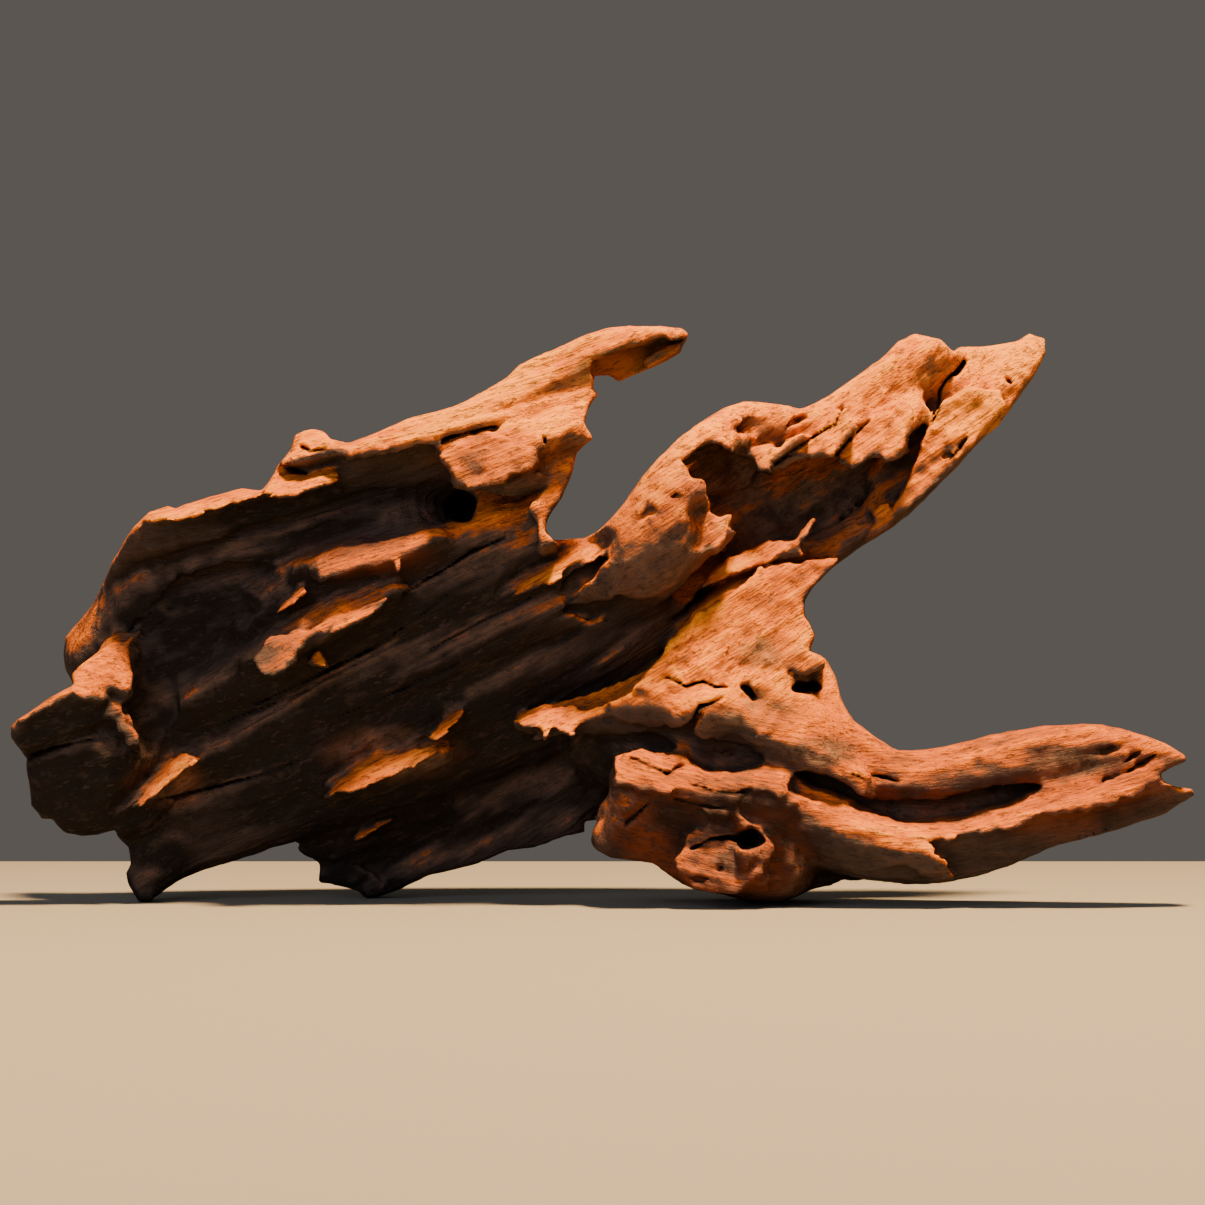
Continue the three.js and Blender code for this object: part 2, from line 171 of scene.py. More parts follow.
def below(places: Array, low: float, step: float, count: int) -> tuple[Array, Array]:
    """The sample below each place on one axis, and the place's share of the way to the next."""
    spots = np.clip((places - low) / step, 0, count - 1.001)
    whole = spots.astype(np.int32)
    return whole, spots - whole


def between(table: Array, x: Array, z: Array, share_x: Array, share_z: Array) -> Array:
    """Reads a table between its rows and columns, from those below and the shares of the way."""
    lower = table[x, z] * (1 - share_x) + table[x + 1, z] * share_x
    upper = table[x, z + 1] * (1 - share_x) + table[x + 1, z + 1] * share_x
    return lower * (1 - share_z) + upper * share_z


class Noise:
    """Smooth noise from a block of seeded random values, the same on every run."""

    def __init__(self, seed: int, size: int = 64) -> None:
        """Fills the block; size is a power of two."""
        self.size = size
        values = np.random.default_rng(seed).uniform(-1, 1, size**3)
        self.values = values.astype(np.float32)

    def at(self, x: Array, y: Array, z: Array) -> Array:
        """Noise from minus one to one, at places in units of its own grain."""
        mask = self.size - 1
        cells, shares = [], []
        for places in (x, y, z):
            low = np.floor(places)
            share = (places - low).astype(np.float32)
            shares.append(share * share * (3 - 2 * share))
            cells.append(low.astype(np.int32))
        result = 0.0
        for corner in range(8):
            steps = (corner & 1, corner >> 1 & 1, corner >> 2 & 1)
            index = 0
            weight = 1.0
            for cell, share, step in zip(cells, shares, steps):
                index = index * self.size + (cell + step & mask)
                weight = weight * (share if step else 1 - share)
            result = result + weight * self.values[index]
        return result


class Grid:
    """A block of evenly spaced samples and the places they stand at."""

    def __init__(self, low: tuple, counts: tuple[int, int, int], step: float) -> None:
        """Keeps the lowest corner, the numbers of samples and their distance in mm."""
        self.low = np.array(low, np.float32)
        self.counts = counts
        self.step = step

    def window(self, low: Array, high: Array) -> Window:
        """The slices that hold a box, cut to the block."""
        first = np.floor((np.asarray(low) - self.low) / self.step).astype(int)
        last = np.ceil((np.asarray(high) - self.low) / self.step).astype(int) + 1
        first = np.clip(first, 0, self.counts)
        last = np.clip(last, 0, self.counts)
        return tuple(slice(int(a), int(b)) for a, b in zip(first, last))

    def places(self, window: Window) -> tuple[Array, Array, Array]:
        """The x, y and z of a window's samples, shaped to spread over each other."""
        axes = []
        for axis, part in enumerate(window):
            steps = np.arange(part.start, part.stop, dtype=np.float32)
            shape = [1, 1, 1]
            shape[axis] = -1
            axes.append((self.low[axis] + self.step * steps).reshape(shape))
        return tuple(axes)

    def seen(self, window: Window) -> tuple[Array, ...]:
        """The depths of a window's samples and where they are seen, as flatten gives it."""
        x, y, z = np.broadcast_arrays(*self.places(window))
        return (y, *flatten(x, y, z))

    def sample(self, values: Array, points: Array) -> Array:
        """Reads a block of values between its samples, at places in mm, one a row."""
        spots = (points - self.low) / self.step
        spots = np.clip(spots, 0, np.array(self.counts) - 1.001)
        low = spots.astype(np.int32)
        share = (spots - low).astype(np.float32)
        result = np.zeros(len(points), np.float32)
        for corner in range(8):
            steps = (corner & 1, corner >> 1 & 1, corner >> 2 & 1)
            weight = np.ones(len(points), np.float32)
            for axis, step in enumerate(steps):
                weight *= share[:, axis] if step else 1 - share[:, axis]
            spot = low + steps
            result += weight * values[spot[:, 0], spot[:, 1], spot[:, 2]]
        return result


@dataclass(frozen=True)
class Run:
    """One run of wood or of air, thicker and thinner along a smooth curve.

    Each place is x, y, z, half the width seen from the front and half the depth, in mm.
    """

    name: str
    places: Places

    def samples(self) -> Array:
        """Points and half sizes along a centripetal curve through the places."""
        places = np.array(self.places, float)
        points = places[:, :3]
        before = 2 * points[0] - points[1]
        after = 2 * points[-1] - points[-2]
        points = np.vstack([before, points, after])
        rows = []
        count = (len(places) - 1) * STEPS_PER_PLACE
        for step in range(count + 1):
            along = step / STEPS_PER_PLACE
            first = min(int(along), len(places) - 2)
            share = along - first
            four = points[first : first + 4]
            ways = np.diff(four, axis=0)
            gaps = [max(float(np.sum(way**2)) ** 0.25, 1e-4) for way in ways]
            slope_in = ways[0] / gaps[0] - (four[2] - four[0]) / (gaps[0] + gaps[1])
            slope_in = (slope_in + ways[1] / gaps[1]) * gaps[1]
            slope_out = ways[1] / gaps[1] - (four[3] - four[1]) / (gaps[1] + gaps[2])
            slope_out = (slope_out + ways[2] / gaps[2]) * gaps[1]
            cube = 2 * four[1] - 2 * four[2] + slope_in + slope_out
            square = -3 * four[1] + 3 * four[2] - 2 * slope_in - slope_out
            point = ((cube * share + square) * share + slope_in) * share + four[1]
            size = places[first, 3:] * (1 - share) + places[first + 1, 3:] * share
            rows.append((*point, *size))
        return np.array(rows)

    def distance(self, grid: Grid) -> tuple[Window, Array]:
        """Signed distance to the run, in a window of the samples round it."""
        rows = self.samples()
        sides = rows[:, [3, 4, 3]]
        window = grid.window(
            (rows[:, :3] - sides).min(0) - REACH, (rows[:, :3] + sides).max(0) + REACH
        )
        nearest = np.full([part.stop - part.start for part in window], FAR, np.float32)
        for start, end in zip(rows[:-1], rows[1:]):
            half = np.maximum(start[[3, 4, 3]], end[[3, 4, 3]]) + REACH
            low = np.minimum(start[:3], end[:3]) - half
            high = np.maximum(start[:3], end[:3]) + half
            part = tuple(
                slice(max(a.start, b.start), max(min(a.stop, b.stop), a.start, b.start))
                for a, b in zip(grid.window(low, high), window)
            )
            inner = tuple(slice(a.start - b.start, a.stop - b.start) for a, b in zip(part, window))
            found = self.stretch(grid.places(part), start, end)
            np.minimum(nearest[inner], found, out=nearest[inner])
        return window, nearest

    @staticmethod
    def stretch(places: tuple, start: Array, end: Array) -> Array:
        """Signed distance to one straight stretch of the run."""
        run = (end[:3] - start[:3]).astype(np.float32)
        away = [axis - np.float32(value) for axis, value in zip(places, start[:3])]
        share = (away[0] * run[0] + away[1] * run[1] + away[2] * run[2]) / np.float32(run @ run)
        share = np.clip(share, 0, 1)
        width = np.float32(start[3]) + np.float32(end[3] - start[3]) * share
        depth = np.float32(start[4]) + np.float32(end[4] - start[4]) * share
        across = np.hypot(away[0] - run[0] * share, away[2] - run[2] * share)
        deep = np.abs(away[1] - run[1] * share)
        scaled = np.hypot(across / width, deep / depth)
        slope = np.hypot(across / (width * width), deep / (depth * depth))
        return (scaled * (scaled - 1) / np.maximum(slope, 1e-6)).astype(np.float32)


def seen_window(grid: Grid, corners: Places, depths: tuple[float, float], margin: float) -> Window:
    """The window that holds a seen outline between two depths, with a margin all round."""
    points = np.array([corner[:2] for corner in corners], float)
    lows, highs = [], []
    for depth in depths:
        scale = 1 + depth / EYE_DISTANCE
        spread = np.stack([points[:, 0] * scale, EYE_HEIGHT + (points[:, 1] - EYE_HEIGHT) * scale])
        lows.append(spread.min(1))
        highs.append(spread.max(1))
    low, high = np.min(lows, 0) - margin, np.max(highs, 0) + margin
    return grid.window((low[0], depths[0] - margin, low[1]), (high[0], depths[1] + margin, high[1]))


def uneven(noise: Noise, x: Array, y: Array, z: Array, size: float) -> Array:
    """Noise of two sizes, turned so that it follows no axis; the coarser size is in mm."""
    along, up, deep = (0.8 * x + 0.6 * z) / size, (0.8 * z - 0.6 * x) / size, y / size
    coarse = noise.at(along + 0.4 * deep, deep - 0.3 * up, up)
    return 0.65 * coarse + 0.35 * noise.at(2.3 * along + 11, 2.3 * deep, 2.3 * up - 0.5 * along)


def torn(noise: Noise, x: Array, z: Array, amount: float) -> tuple[Array, Array]:
    """Shifts seen points at random by up to an amount in mm, so that outlines come out torn."""
    level = np.float32(3.3) + 0 * x
    sideways = uneven(noise, x, level + 40, z, TEAR_SIZE)
    return x + amount * sideways, z + amount * 1.3 * uneven(noise, x, level, z, TEAR_SIZE)


class SeenMap:
    """A seen outline drawn once on the upright plane, for many samples to read."""

    def __init__(self, wood: "Sculpt", corners: Places, rag: float, margin: float) -> None:
        """Draws the outline, torn by rag mm, with a margin round it."""
        self.wood = wood
        self.corners = corners
        self.rag = rag
        points = np.array(corners, np.float32)[:, :2]
        self.low = points.min(0) - margin
        counts = ((points.max(0) + margin - self.low) / SAMPLE_STEP).astype(int) + 2
        axes = (low + SAMPLE_STEP * np.arange(count) for low, count in zip(self.low, counts))
        self.x, self.z = np.meshgrid(*axes, indexing="ij")
        self.edge = self.moved(0.0, 0.0)

    def moved(self, tilt: float, shift: float) -> Array:
        """Signed distances to the outline after a shift square to the tilt."""
        turn = math.radians(tilt)
        x, z = self.x - shift * math.sin(turn), self.z + shift * math.cos(turn)
        return polygon_distance(*torn(self.wood.tear, x, z, self.rag), self.corners)

    def sloped(self, high: float, low: float, tilt: float) -> Array:
        """A plane that goes from one depth at the outline's upper edge to another at its lower."""
        turn = math.radians(tilt)
        heights = [z0 * math.cos(turn) - x0 * math.sin(turn) for x0, z0 in self.corners]
        top, foot = max(heights), min(heights)
        share = (top - (self.z * math.cos(turn) - self.x * math.sin(turn))) / (top - foot)
        return high + (low - high) * np.clip(share, -0.2, 1.2)

    def rough(self, amount: float, size: float) -> Array:
        """Unevenness for a face or a floor, in mm; each amount reads its own layer of the noise."""
        return amount * uneven(self.wood.tear, self.x, amount * 9 + 0 * self.x, self.z, size)

    def struck(self, near: float) -> tuple[Array, Array]:
        """Where the lines of sight enter the wood first and leave it last.

        Args:
            near: the depth that the search starts at.

        Returns:
            The depths of entry and of exit; both are FAR where there is no wood.
        """
        grid = self.wood.grid
        depths = np.arange(near, SCULPT_HIGH[1], SAMPLE_STEP, dtype=np.float32)
        scale = 1 + depths / EYE_DISTANCE
        height = EYE_HEIGHT + (self.z[..., None] - EYE_HEIGHT) * scale
        spots = []
        for axis, places in enumerate((self.x[..., None] * scale, depths, height)):
            spot = np.rint((places - grid.low[axis]) / grid.step).astype(np.int32)
            spots.append(np.clip(spot, 0, grid.counts[axis] - 1))
        inside = self.wood.value[tuple(spots)] < 0
        met = inside.any(-1)
        first = depths[inside.argmax(-1)]
        last = depths[len(depths) - 1 - inside[..., ::-1].argmax(-1)]
        return np.where(met, first, FAR), np.where(met, last, FAR)

    def read(self, x: Array, z: Array, *tables: Array) -> list[Array]:
        """Reads tables drawn on the map at seen points."""
        low_x, share_x = below(x, self.low[0], SAMPLE_STEP, self.edge.shape[0])
        low_z, share_z = below(z, self.low[1], SAMPLE_STEP, self.edge.shape[1])
        shares = share_x.astype(np.float32), share_z.astype(np.float32)
        return [between(table, low_x, low_z, *shares).astype(np.float32) for table in tables]


@dataclass(frozen=True)
class Shelf:
    """A ledge or flake: an outline seen from the front, carried back, with a sloping face.

    The face lies at depth high along its upper edge and at depth low along its lower one, where
    up is square to the tilt in degrees. Its thickness may run on into the core. Wood in front of
    the face is cleared away, and round it over the soft width, if that isn't nought.
    """

    # How high and how wide the lumps of its face are, in mm, and the least wood that is cleared.
    FINE_LUMPS = (0.7, 4.5)
    WIDE_LUMPS = (1.3, 12.0)
    LEAST_LIP = 0.05

    name: str
    corners: Places
    high: float
    low: float
    thick: float
    tilt: float
    rag: float = 0.9
    soft: float = 8.0

    def apply(self, wood: "Sculpt") -> None:
        """Adds the ledge to the wood."""
        margin = self.soft + 2
        seen = SeenMap(wood, self.corners, self.rag, margin)
        face = seen.sloped(self.high, self.low, self.tilt)
        face = face + seen.rough(*self.FINE_LUMPS) + seen.rough(*self.WIDE_LUMPS)
        front, _ = seen.struck(SCULPT_LOW[1])
        front = np.where(front < FAR, front, face)
        lip = np.maximum(face - front, 0) * ease(1 - np.maximum(seen.edge, 0) / max(self.soft, 1))
        depths = (min(face.min(), front.min()), face.max() + self.thick)
        window = seen_window(wood.grid, self.corners, depths, margin)
        y, seen_x, seen_z, scale = wood.grid.seen(window)
        edge, face, lip, front = seen.read(seen_x, seen_z, seen.edge, face, lip, front)
        value = wood.value[window]
        if self.soft:
            cleared = smooth_max(value, (front + lip - y) * AIR_STEEP, EDGE_BLEND)
            value = np.where(lip > self.LEAST_LIP, cleared, value)
        block = smooth_max(edge * scale, (face - y) * FACE_STEEP, EDGE_BLEND)
        block = smooth_max(block, (y - face - self.thick) * BACK_STEEP, SHELF_BACK_BLEND)
        wood.value[window] = smooth_min(value, block, SHELF_BLEND)


@dataclass(frozen=True)
class Recess:
    """A sunk place: everything in front of a sloping floor is taken away inside a seen outline.

    Its floor rises to the surface along its lower side over the merge width, if that isn't nought.
    """

    # How high and how wide the lumps of its floor are, in mm.
    LUMPS = (0.9, 6.0)

    name: str
    corners: Places
    high: float
    low: float
    near: float
    tilt: float
    rag: float = 0.9
    merge: float = 0.0

    def apply(self, wood: "Sculpt") -> None:
        """Takes the recess out of the wood, short of its back."""
        seen = SeenMap(wood, self.corners, self.rag, SEEN_MARGIN)
        floor = seen.sloped(self.high, self.low, self.tilt) + seen.rough(*self.LUMPS)
        front, back = seen.struck(self.near)
        floor = np.minimum(floor, back - WALL)
        if self.merge:
            share = ease(0.5 - seen.moved(self.tilt, -self.merge) / self.merge)
            floor = np.where(front < FAR, front + (floor - front) * share, floor)
        window = seen_window(wood.grid, self.corners, (self.near, floor.max()), SEEN_MARGIN)
        y, seen_x, seen_z, scale = wood.grid.seen(window)
        edge, floor = seen.read(seen_x, seen_z, seen.edge, floor)
        gap = smooth_max(edge * scale, (y - floor) * FACE_STEEP, FLOOR_BLEND)
        gap = np.maximum(gap, self.near - y)
        wood.value[window] = smooth_max(wood.value[window], -gap, EDGE_BLEND)


@dataclass(frozen=True)
class Crack:
    """A split in the surface: seen places as x, z and half width, and how deep it goes."""

    # How far its course is torn, the width over which its painted shade fades and how far the
    # painted shade spreads, in mm, and the least share of its depth at a thin end.
    TEAR = 0.5
    FADE = 0.6
    SPREAD = 0.25
    LEAST_DEPTH = 0.05

    name: str
    places: Places
    deep: float
    near: float = -82.0
    far: float = 8.0

    def apply(self, wood: "Sculpt") -> None:
        """Cuts the split into the wood, narrower the deeper it goes."""
        window = seen_window(wood.grid, self.places, (self.near, self.far), SPLIT_MARGIN)
        _, seen_x, seen_z, _ = wood.grid.seen(window)
        seen_x, seen_z = torn(wood.tear, seen_x, seen_z, self.TEAR)
        value = wood.value[window]
        gap = np.full(value.shape, FAR, np.float32)
        for start, end in zip(self.places[:-1], self.places[1:]):
            distance, share = segment_distance(seen_x, seen_z, start, end)
            half = start[2] + (end[2] - start[2]) * share
            deep = self.deep * np.clip(half / SPLIT_WIDTH, self.LEAST_DEPTH, 1)
            width = np.maximum(half, SPLIT_WIDTH)
            np.minimum(gap, distance - width * np.clip(1 + value / deep, -9, 1), out=gap)
        wood.value[window] = np.maximum(value, -gap)

    def drawn(self, x: Array, z: Array) -> Array:
        """How much painted shade the split puts on each seen point, out to its thin ends."""
        dark = np.zeros(x.shape, np.float32)
        for start, end in zip(self.places[:-1], self.places[1:]):
            distance, share = segment_distance(x, z, start, end)
            half = start[2] + (end[2] - start[2]) * share
            shade = ease((half + self.SPREAD - distance) / self.FADE) * np.clip(half / 0.5, 0, 1)
            np.maximum(dark, shade, out=dark)
        return dark


@dataclass(frozen=True)
class Pit:
    """A round or long hole, seen at x and z, with its half sizes, tilt in degrees and depth."""

    # How far its rim is torn, and how finely the wood in front of it is looked for, in mm.
    TEAR = 1.1
    STEP = 0.5

    name: str
    place: tuple[float, float]
    half: tuple[float, float]
    tilt: float
    deep: float
    near: float = -82.0
    far: float = 8.0

    def front(self, wood: "Sculpt") -> float:
        """The depth at which the line of sight through the hole's middle meets the wood."""
        depths = np.arange(self.near, self.far, self.STEP, dtype=np.float32)
        scale = 1 + depths / EYE_DISTANCE
        height = EYE_HEIGHT + (self.place[1] - EYE_HEIGHT) * scale
        points = np.stack([self.place[0] * scale, depths, height], 1)
        inside = wood.grid.sample(wood.value, points) < 0
        return float(depths[inside.argmax()]) if inside.any() else self.far

    def apply(self, wood: "Sculpt") -> None:
        """Sinks the hole into the wood as a bowl that ends blind."""
        reach = max(self.half)
        corners = tuple((self.place[0] + side, self.place[1] + side) for side in (-reach, reach))
        front = self.front(wood)
        window = seen_window(wood.grid, corners, (self.near, front + self.deep), SPLIT_MARGIN)
        y, seen_x, seen_z, _ = wood.grid.seen(window)
        seen_x, seen_z = torn(wood.tear, seen_x, seen_z, self.TEAR)
        turn = math.radians(self.tilt)
        away_x, away_z = seen_x - self.place[0], seen_z - self.place[1]
        along = away_x * math.cos(turn) + away_z * math.sin(turn)
        across = away_z * math.cos(turn) - away_x * math.sin(turn)
        depth = (y - front) / self.deep
        wide = np.sqrt(np.clip(1 - np.maximum(depth, 0) ** 2, 0, 1))
        gap = (np.hypot(along / self.half[0], across / self.half[1]) - wide) * min(self.half)
        gap = np.maximum(gap, y - front - self.deep)
        wood.value[window] = smooth_max(wood.value[window], -gap, PIT_BLEND)


@dataclass(frozen=True)
class GrainFamily:
    """Grain lines that share a course: where they pass, how they rise, bend and fan out."""

    centre: tuple[float, float]
    slope: float
    bend: float
    fan: float

    def lay(self, points: Array) -> Array:
        """Places along, across and into the grain, in mm, one a row."""
        away = points[:, 0] - self.centre[0]
        rise = self.slope * away + 0.5 * self.bend * away * away
        turn = math.atan(self.slope)
        above = points[:, 2] - self.centre[1]
        across = (above - rise) * math.cos(turn) * np.clip(1 + self.fan * away, 0.4, 2)
        along = away * math.cos(turn) + above * math.sin(turn)
        return np.stack([along, across, points[:, 1]], 1).astype(np.float32)


class Grain(Enum):
    """The three courses that the grain takes in this piece."""

    SLAB = GrainFamily((-90.0, 80.0), 0.46, 0.0008, 0.002)
    ARM = GrainFamily((80.0, 160.0), 0.68, 0.0, 0.0)
    FLOW = GrainFamily((110.0, 40.0), 0.02, 0.0034, 0.0)

    @property
    def stored(self) -> str:
        """The name under which the pieces keep it."""
        return f"grain_{self.name.lower()}"


def grain_shares(points: Array) -> Array:
    """How much each place follows the slab's, the arm's and the flow's course, one row for each."""
    x, z = points[:, 0], points[:, 2]
    # Right of the slab, the arm's course takes over above 124 mm and the flow's below 88 mm.
    arm = ease((z - 124 + 0.15 * x) / 16) * ease((x + 2) / 18)
    flow = ease((88 - z) / 26) * ease((x + 8) / 16) * (1 - arm)
    return np.stack([1 - arm - flow, arm, flow], 1).astype(np.float32)


@dataclass(frozen=True)
class Plane:
    """A flat cut: the wood on the side that the normal points to is kept."""

    normal: tuple[float, float, float]
    offset: float

    @staticmethod
    def seen(start: tuple[float, float], end: tuple[float, float]) -> "Plane":
        """A cut straight back through two seen points, keeping the left of the way between."""
        normal = Vector((start[1] - end[1], 0, end[0] - start[0])).normalized()
        return Plane(tuple(normal), normal.x * start[0] + normal.z * start[1])

    @staticmethod
    def plan(start: tuple[float, float], end: tuple[float, float]) -> "Plane":
        """An upright cut through two points of the plan, keeping the left of the way between."""
        normal = Vector((start[1] - end[1], end[0] - start[0], 0)).normalized()
        return Plane(tuple(normal), normal.x * start[0] + normal.y * start[1])

    def flipped(self) -> "Plane":
        """The same cut keeping the other side."""
        return Plane(tuple(-value for value in self.normal), -self.offset)


@dataclass(frozen=True)
class Ridges:
    """Ridges along the grain: how much they lift the wood, how long and how wide, in mm."""

    lift: float
    length: float
    width: float

    def read(self, noise: Noise, along: Array, across: Array, deep: Array) -> Array:
        """Their noise at places along, across and into the grain."""
        return noise.at(along / self.length, across / self.width, deep / self.width)


@dataclass(frozen=True)
class Steps:
    """Low steps across the grain: how high, how far apart and how steeply each falls back."""

    lift: float
    apart: float
    drop: float

    def saw(self, course: Array) -> Array:
        """A ramp from nought to one that falls back over the last share of each course."""
        share = course % 1
        return np.minimum(share / (1 - self.drop), (1 - share) / self.drop)


BROAD_RIDGES = Ridges(0.9, 60, 11)
NARROW_RIDGES = Ridges(0.75, 28, 4.6)
FINE_RIDGES = Ridges(0.5, 13, 2.4)
HIGH_STEPS = Steps(1.9, 14, 0.16)
LOW_STEPS = Steps(0.7, 6.2, 0.32)

# How much the lumps and the grit lift the wood and how wide they are, in mm.
LUMPS = (0.7, 7.5)
GRIT = (0.52, 3.4)

# Seeds of the noise for tears, broad relief, narrow and fine crests and the steps' wander.
TEAR_SEED, BROAD_SEED, NARROW_SEED, FINE_SEED, STEP_SEED = 3, 11, 12, 13, 21


class Sculpt:
    """The whole piece as samples of one signed distance, below zero inside the wood."""

    def __init__(self, limbs: list["Limb"]) -> None:
        """Grows the wood of all limbs and cuts its details."""
        self.limbs = limbs
        self.tear = Noise(TEAR_SEED)
        counts = [int((high - low) / SAMPLE_STEP / 2) for low, high in zip(SCULPT_LOW, SCULPT_HIGH)]
        self.coarse = Grid(SCULPT_LOW, tuple(count + 1 for count in counts), SAMPLE_STEP * 2)
        self.grid = Grid(SCULPT_LOW, tuple(2 * count + 1 for count in counts), SAMPLE_STEP)
        self.value = self.refined(self.grown())
        self.add_relief(self.broad_relief, BROAD_REACH)
        for limb in limbs:
            for hollow in limb.hollows:
                LOG.debug("hollowing %s", hollow.name)
                window, distance = hollow.distance(self.grid)
                self.value[window] = smooth_max(self.value[window], -distance, HOLLOW_BLEND)
        for limb in limbs:
            for run in limb.splinters:
                window, distance = run.distance(self.grid)
                self.value[window] = smooth_min(self.value[window], distance, SPLINTER_BLEND)
        for kind in ("recesses", "shelves", "cracks", "pits"):
            for limb in limbs:
                for detail in getattr(limb, kind):
                    LOG.debug("cutting %s", detail.name)
                    detail.apply(self)
        self.add_relief(self.fine_relief, FINE_REACH)
        self.cut_outline()
        ground = self.grid.places(self.grid.window(SCULPT_LOW, SCULPT_HIGH))[2]
        np.maximum(self.value, -ground, out=self.value)

    def grown(self) -> Array:
        """All runs melted together on the coarse samples."""
        value = np.full(self.coarse.counts, FAR, np.float32)
        for limb in self.limbs:
            for run in limb.runs:
                LOG.debug("growing %s", run.name)
                window, distance = run.distance(self.coarse)
                value[window] = smooth_min(value[window], distance, RUN_BLEND)
        return value

    @staticmethod
    def refined(coarse: Array) -> Array:
        """The same distance with samples twice as dense."""
        for axis in range(3):
            first = np.moveaxis(coarse, axis, 0)
            dense = np.empty((2 * first.shape[0] - 1, *first.shape[1:]), np.float32)
            dense[::2] = first
            dense[1::2] = (first[:-1] + first[1:]) / 2
            coarse = np.moveaxis(dense, 0, axis)
        return np.ascontiguousarray(coarse)

    def chosen(self, mask: Array) -> tuple[Array, Array]:
        """The numbers of the samples that a flat mask picks, and their places in mm."""
        picked = np.flatnonzero(mask)
        points = np.stack(np.unravel_index(picked, self.value.shape), 1).astype(np.float32)
        return picked, points * self.grid.step + self.grid.low

    def add_relief(self, relief: Callable, reach: float) -> None:
        """Lifts and sinks the surface.

        Args:
            relief: gives how far the surface is lifted at each place.
            reach: how far from the surface the samples are changed, in mm.
        """
        flat = self.value.reshape(-1)
        near, points = self.chosen(np.abs(flat) < reach)
        flat[near] -= relief(points)

    @staticmethod
    def along_grain(points: Array, ridges: Callable) -> Array:
        """How far ridges along each course of the grain lift the surface.

        Args:
            points: places in mm, one a row.
            ridges: gives the lift, from the course, the x and the places along, across and deep.

        Returns:
            The lift at each place, in mm.
        """
        shares = grain_shares(points)
        lift = np.zeros(len(points), np.float32)
        for family, grain in enumerate(Grain):
            part = np.flatnonzero(shares[:, family] > 0.01)
            along, across, deep = grain.value.lay(points[part]).T
            # Turned a little about the grain, so that no ridge runs straight back.
            across, deep = across + 0.4 * deep, deep - 0.4 * across
            lift[part] += ridges(grain, points[part, 0], along, across, deep) * shares[part, family]
        return lift

    def broad_relief(self, points: Array) -> Array:
        """How far the broad ridges, the steps and the lumps lift the surface, in mm."""
        broad = Noise(BROAD_SEED)

        def ridges(grain: Grain, x: Array, *laid: Array) -> Array:
            """Broad ridges, with steps over the front of the slab that fade out at its ends."""
            ridge = BROAD_RIDGES.lift * BROAD_RIDGES.read(broad, *laid)
            if grain is Grain.SLAB:
                front = ease((30 - x) / 40) * (0.6 + 0.4 * ease((14 - laid[2]) / 16))
                front *= ease((x + 192) / 34)
                ridge += self.steps(*laid) * front
            return ridge

        lumps = LUMPS[0] * uneven(broad, *points.T, LUMPS[1])
        rest = 1 - grain_shares(points)[:, 0]
        return self.along_grain(points, ridges) + lumps * (0.45 + 0.55 * rest)

    def fine_relief(self, points: Array) -> Array:
        """How far the fine ridges and the grit lift the surface, in mm."""
        narrow, fine = Noise(NARROW_SEED), Noise(FINE_SEED)

        def ridges(grain: Grain, x: Array, *laid: Array) -> Array:
            """Narrow crests with finer ones on them."""
            ridge = NARROW_RIDGES.lift * (0.5 - np.abs(NARROW_RIDGES.read(narrow, *laid)))
            ridge += FINE_RIDGES.lift * FINE_RIDGES.read(fine, *laid)
            return ridge

        rest = 1 - grain_shares(points)[:, 0]
        grit = GRIT[0] * uneven(narrow, *points.T, GRIT[1])
        return self.along_grain(points, ridges) + grit * (0.55 + 0.45 * rest)

    @staticmethod
    def steps(along: Array, across: Array, deep: Array) -> Array:
        """Long low steps where layers of the slab have split off, each facing up."""
        wander = Noise(STEP_SEED)
        # The layers wander by up to 3 mm over some 60 mm, and high and low steps take turns.
        course = across + 3.0 * wander.at(along / 60, across / 20, deep / 30)
        low = course / LOW_STEPS.apart + 0.5 * wander.at(along / 35, across / 9, deep / 20)
        turns = 0.5 + 0.5 * wander.at(along / 45, across / 13 + 5, deep / 40)
        step = HIGH_STEPS.lift * turns * (HIGH_STEPS.saw(course / HIGH_STEPS.apart) - 0.5)
        return step + LOW_STEPS.lift * (1 - turns) * (LOW_STEPS.saw(low) - 0.5)

    def normals(self, points: Array, reach: float) -> Array:
        """Which way the surface faces on the whole round each place, within a reach in mm."""
        slopes = []
        for axis in range(3):
            shift = np.zeros(3, np.float32)
            shift[axis] = reach
            ahead = self.grid.sample(self.value, points + shift)
            slopes.append(ahead - self.grid.sample(self.value, points - shift))
        slope = np.stack(slopes, 1)
        return slope / np.maximum(np.linalg.norm(slope, axis=1, keepdims=True), 1e-6)

    def cut_outline(self) -> None:
        """Cuts the wood to its seen outline."""
        flat = self.value.reshape(-1)
        near, points = self.chosen(flat < BROAD_REACH)
        distance = Silhouette().distance(points, self.tear)
        flat[near] = smooth_max(flat[near], distance, OUTLINE_BLEND)

